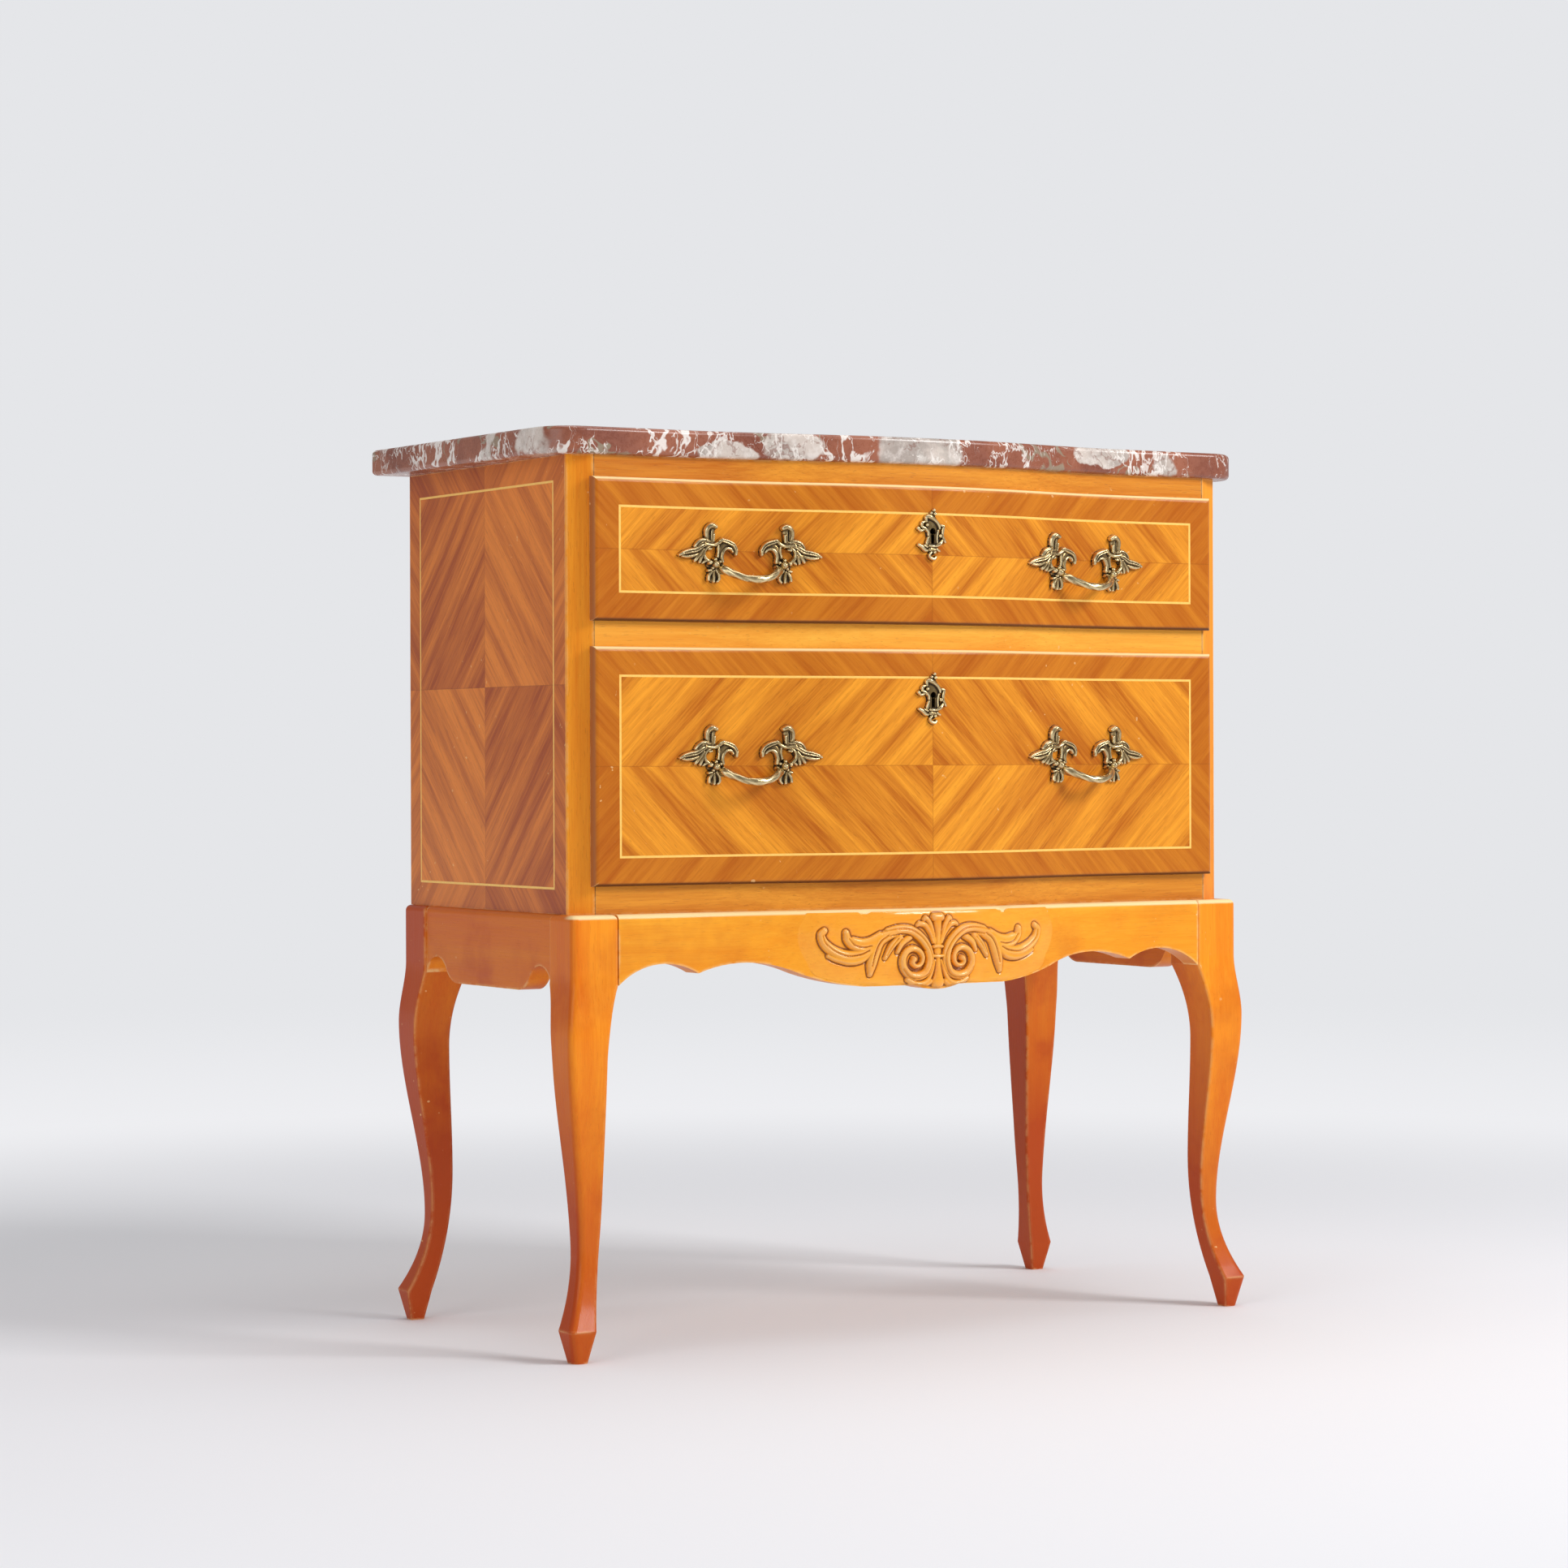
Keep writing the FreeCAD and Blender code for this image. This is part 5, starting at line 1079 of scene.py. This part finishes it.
def cast_metal():
    """Antique cast metal: bright on its crests, partly worn metal and partly a painted highlight, dark with
    patina in its hollows, a little uneven.
    """
    made = bpy.data.materials.get("Antique casting")
    if made:
        return made
    tints = colours()
    graph = Finish("Antique casting")
    uneven = graph.noise(graph.place, 420.0, 3.0, 0.6)
    cloudy = graph.steps(graph.noise(graph.place, 60.0), 0.35, 0.65)
    deep = graph.steps(graph.recess() + uneven * 0.3, 0.05, 0.6)
    # Painted highlight on the crests, partly worn metal; patina in the hollows.
    rubbed_and_highlit = graph.steps(graph.recess() - uneven * 0.3, -0.1, -0.5)
    metal = graph.blend(cloudy, shade(tints.brass, 0.72), tints.brass)
    metal = graph.blend(rubbed_and_highlit, metal, tints.brass_bright)
    graph.set(Base_Color=graph.blend(deep, metal, tints.brass_deep),
              Metallic=graph.steps(deep, 0.0, 1.0, 1.0, 0.35),
              Roughness=graph.steps(deep, 0.0, 1.0, 0.26, 0.7))
    graph.bump(uneven, COARSE_RELIEF)
    return graph.material


def grip():
    """The grip: a tube along a curve through GRIP and its mirror image, whose section is a circle with lobes
    that turn as they go along, so that it looks twisted; round at the ring in its middle."""
    half = np.array(GRIP)
    rows = curve(np.vstack([half[:0:-1] * (-1, 1, 1, 1), half]), 10)
    path = rows[:, (0, 2, 1)] * (1, -1, 1)
    turn = np.linspace(0, 2 * math.pi, GRIP_SIDES, endpoint=False)[None, :]
    along = np.linspace(-1, 1, len(rows))[:, None]
    ring = np.exp(-(along / GRIP_RING) ** 2)
    lobes = GRIP_RELIEF * (1 - ring) * np.cos(GRIP_LOBES * turn + GRIP_TWISTS * along * np.sign(along))
    return tube(path, rows[:, 3:] * (1 + lobes), np.array(GRIP_ACROSS))


class ChestHandles(bpy.types.Operator):
    """Make the four cast handles"""
    bl_idname = "chest.handles"
    bl_label = "Handles"

    def execute(self, context):
        near, far = (stand(np.array(HANDLE_PLACE + side * SCREW_REACH)) for side in (-1, 1))
        turn = math.atan((near - far) / (2 * SCREW_REACH))
        spin = np.array(Matrix.Rotation(turn, 3, "Z")).T
        grip_points, *grip_rest = grip()
        for name in DRAWERS:
            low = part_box(f"{name}_drawer_front")[0]
            flat_end = low[1] + BULGE
            rise = low[2] + HANDLE_RISE[name]
            parts = []
            for side in (-1, 1):
                middle = HANDLE_PLACE + side * SCREW_REACH * math.cos(turn)
                points, cells, ends, depth = carved_sheet(ROSETTE, ROSETTE_GROOVES, sizes().casting_step / MM,
                                                          on_place(middle, rise, flat_end, side))
                parts.append((points, cells[:, ::side], ends, depth))
            centre = np.array((HANDLE_PLACE, flat_end - (near + far) / 2, rise))
            parts.append((grip_points * MM @ spin + centre, *grip_rest))
            for label, sign in SIDES.items():
                new_piece(f"{name}_{label}_cast_handle", turned_in(parts, sign < 0), cast_metal(),
                          f"{name}_drawer", "brass", f"{name}_{label}_handle")
        return {"FINISHED"}


class ChestKeyPlates(bpy.types.Operator):
    """Make the cast plates round the keyholes"""
    bl_idname = "chest.key_plates"
    bl_label = "Keyhole plates"

    def execute(self, context):
        def keyhole(x, z, height, inside):
            """The plate without its keyhole: a round above a slot."""
            bore = np.hypot(x, z - (KEY_HALF_HEIGHT - KEY_BORE)) - KEY_BORE
            tall = np.abs(z + KEY_BORE / 2) - (KEY_HALF_HEIGHT - KEY_BORE / 2)
            slot = np.maximum(np.abs(x) - KEY_SLOT, tall)
            return height, np.minimum(inside, np.minimum(bore, slot))

        step = sizes().casting_step / MM * KEY_PLATE_STEP
        for name in DRAWERS:
            low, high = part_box(f"{name}_drawer_front")
            place = on_place(0, high[2] - KEYHOLE_DROP, low[1] + BULGE)
            sheet = carved_sheet(KEY_PLATE, (), step, place, keyhole)
            new_piece(f"{name}_cast_key_plate", [sheet], cast_metal(), f"{name}_drawer", "brass",
                      f"{name}_escutcheon")
        return {"FINISHED"}


class ChestLocks(bpy.types.Operator):
    """Give the locks, bolts and screws their metal"""
    bl_idname = "chest.locks"
    bl_label = "Locks and screws"

    def execute(self, context):
        graph = Finish("Dull steel", Metallic=1.0)
        streaks = graph.noise(graph.stretch(graph.place, (1, 1, 0.08)), 500.0, 3.0, 0.6)
        tarnish = graph.steps(graph.noise(graph.place, 40.0, 4.0, 0.6), 0.4, 0.7)
        steel = colours().steel
        graph.set(Base_Color=graph.blend(tarnish, steel, shade(steel, 0.5)), Roughness=streaks * 0.25 + 0.3)
        graph.bump(streaks, FINE_RELIEF)
        kinds = ("lock_case", "lock_screws", "handle_screws")
        nodes = [f"{name}_{kind}" for name in DRAWERS for kind in kinds]
        finish_nodes(graph.material, "base_screws", *nodes)
        finish_nodes(cast_metal(), *(f"{name}_lock_bolt" for name in DRAWERS))
        return {"FINISHED"}


def lamp(name, place, target, size, watts):
    """A square soft lamp that points at a target."""
    data = bpy.data.lights.new(name, "AREA")
    data.shape = "SQUARE"
    data.size = size
    data.energy = watts
    made = bpy.data.objects.new(name, data)
    made.location = place
    made.rotation_euler = (Vector(target) - Vector(place)).to_track_quat("-Z", "Y").to_euler()
    bpy.context.scene.collection.objects.link(made)


def make_floor():
    """A wide round floor, with points at each ring's radius times the cosine and sine of each spoke's angle.
    Its far parts glow in the colour of the background."""
    tints = colours()
    turn = np.linspace(0, 2 * math.pi, FLOOR_SPOKES, endpoint=False)
    rings = np.array(FLOOR_RINGS)[:, None]
    points = np.stack(np.broadcast_arrays(rings * np.cos(turn), rings * np.sin(turn), 0.0), -1)
    grid = np.arange(rings.size * turn.size).reshape(rings.size, -1)
    beside = np.roll(grid, -1, axis=1)
    quads = np.stack([grid[1:-1], grid[2:], beside[2:], beside[1:-1]], axis=-1).reshape(-1, 4)
    fans = np.stack([np.zeros_like(turn, int), grid[1], beside[1]], axis=-1)
    mesh = bpy.data.meshes.new("floor")
    mesh.from_pydata(points.reshape(-1, 3).tolist(), [], quads.tolist() + fans.tolist())
    floor = bpy.data.objects.new("floor", mesh)
    bpy.context.scene.collection.objects.link(floor)
    graph = Finish("Pale floor", Base_Color=(*tints.floor, 1), Roughness=0.75, Specular_IOR_Level=0.2)
    away = graph.away(graph.place)
    tint = graph.blend(graph.steps(away, *FLOOR_TINT), tints.floor, tints.backdrop)
    near, far = Signal(graph, graph.shader.outputs[0]), graph.node("Emission", {"Color": tint})
    merge = graph.node("MixShader", {0: graph.steps(away, *FLOOR_FADE), 1: near, 2: far})
    graph.feed(graph.tree.nodes["Material Output"].inputs["Surface"], merge)
    mesh.materials.append(graph.material)


def make_room(scene):
    """Even light from all round, and a plain background where the camera looks straight at it."""
    scene.world = bpy.data.worlds.new("Pale room")
    scene.world.use_nodes = True
    graph = Graph(scene.world.node_tree)
    ground = graph.tree.nodes["Background"]
    ground.inputs["Color"].default_value = (*colours().backdrop, 1)
    seen = graph.node("LightPath", {}, "Is Camera Ray")
    graph.feed(ground.inputs["Strength"], graph.steps(seen, 0.0, 1.0, scene.chest_stage.room, 1.0))


class ChestStageMaker(bpy.types.Operator):
    """Set the floor, the lamps, the room light and the camera"""
    bl_idname = "chest.stage"
    bl_label = "Stage"

    def execute(self, context):
        scene = context.scene
        make_floor()
        make_room(scene)
        for name, (setting, place, target, size) in LAMPS.items():
            lamp(name, place, target, size, getattr(scene.chest_stage, setting))

        data = bpy.data.cameras.new("camera")
        data.lens = CAMERA_LENS
        data.sensor_width = CAMERA_SENSOR
        data.shift_y = CAMERA_SHIFT
        camera = bpy.data.objects.new("camera", data)
        camera.location = CAMERA_PLACE
        aim = Euler((math.pi / 2, 0, math.radians(CAMERA_YAW))).to_matrix()
        camera.rotation_euler = (aim @ Matrix.Rotation(math.radians(CAMERA_ROLL), 3, "Z")).to_euler()
        scene.collection.objects.link(camera)
        scene.camera = camera
        scene.view_settings.view_transform = "Standard"
        return {"FINISHED"}


OPERATORS = (ChestVeneers, ChestFrame, ChestStand, ChestInside, ChestMarble, ChestCarving, ChestHandles,
             ChestKeyPlates, ChestLocks, ChestStageMaker)


class ChestPanel(bpy.types.Panel):
    """Lists the chest's pieces, colours and sizes"""
    bl_idname = "VIEW3D_PT_chest"
    bl_label = "Commode chest"
    bl_space_type = "VIEW_3D"
    bl_region_type = "UI"
    bl_category = "Chest"

    def draw(self, context):
        for operator in OPERATORS:
            self.layout.operator(operator.bl_idname)
        for settings in (context.scene.chest_colours, context.scene.chest_sizes, context.scene.chest_stage):
            box = self.layout.box()
            for name in settings.__annotations__:
                box.prop(settings, name)


SETTINGS = {"chest_colours": ChestColours, "chest_sizes": ChestSizes, "chest_stage": ChestStage}


def register():
    for made in (*SETTINGS.values(), *OPERATORS, ChestPanel):
        bpy.utils.register_class(made)
    for name, made in SETTINGS.items():
        setattr(bpy.types.Scene, name, PointerProperty(type=made))


def unregister():
    for name in SETTINGS:
        delattr(bpy.types.Scene, name)
    for made in (ChestPanel, *reversed(OPERATORS), *reversed(tuple(SETTINGS.values()))):
        bpy.utils.unregister_class(made)


def main():
    register()
    bpy.ops.chest.veneers()
    bpy.ops.chest.frame()
    bpy.ops.chest.stand()
    bpy.ops.chest.inside()
    bpy.ops.chest.marble()
    bpy.ops.chest.carving()
    bpy.ops.chest.handles()
    bpy.ops.chest.key_plates()
    bpy.ops.chest.locks()
    bpy.ops.chest.stage()


if __name__ == "__main__":
    main()
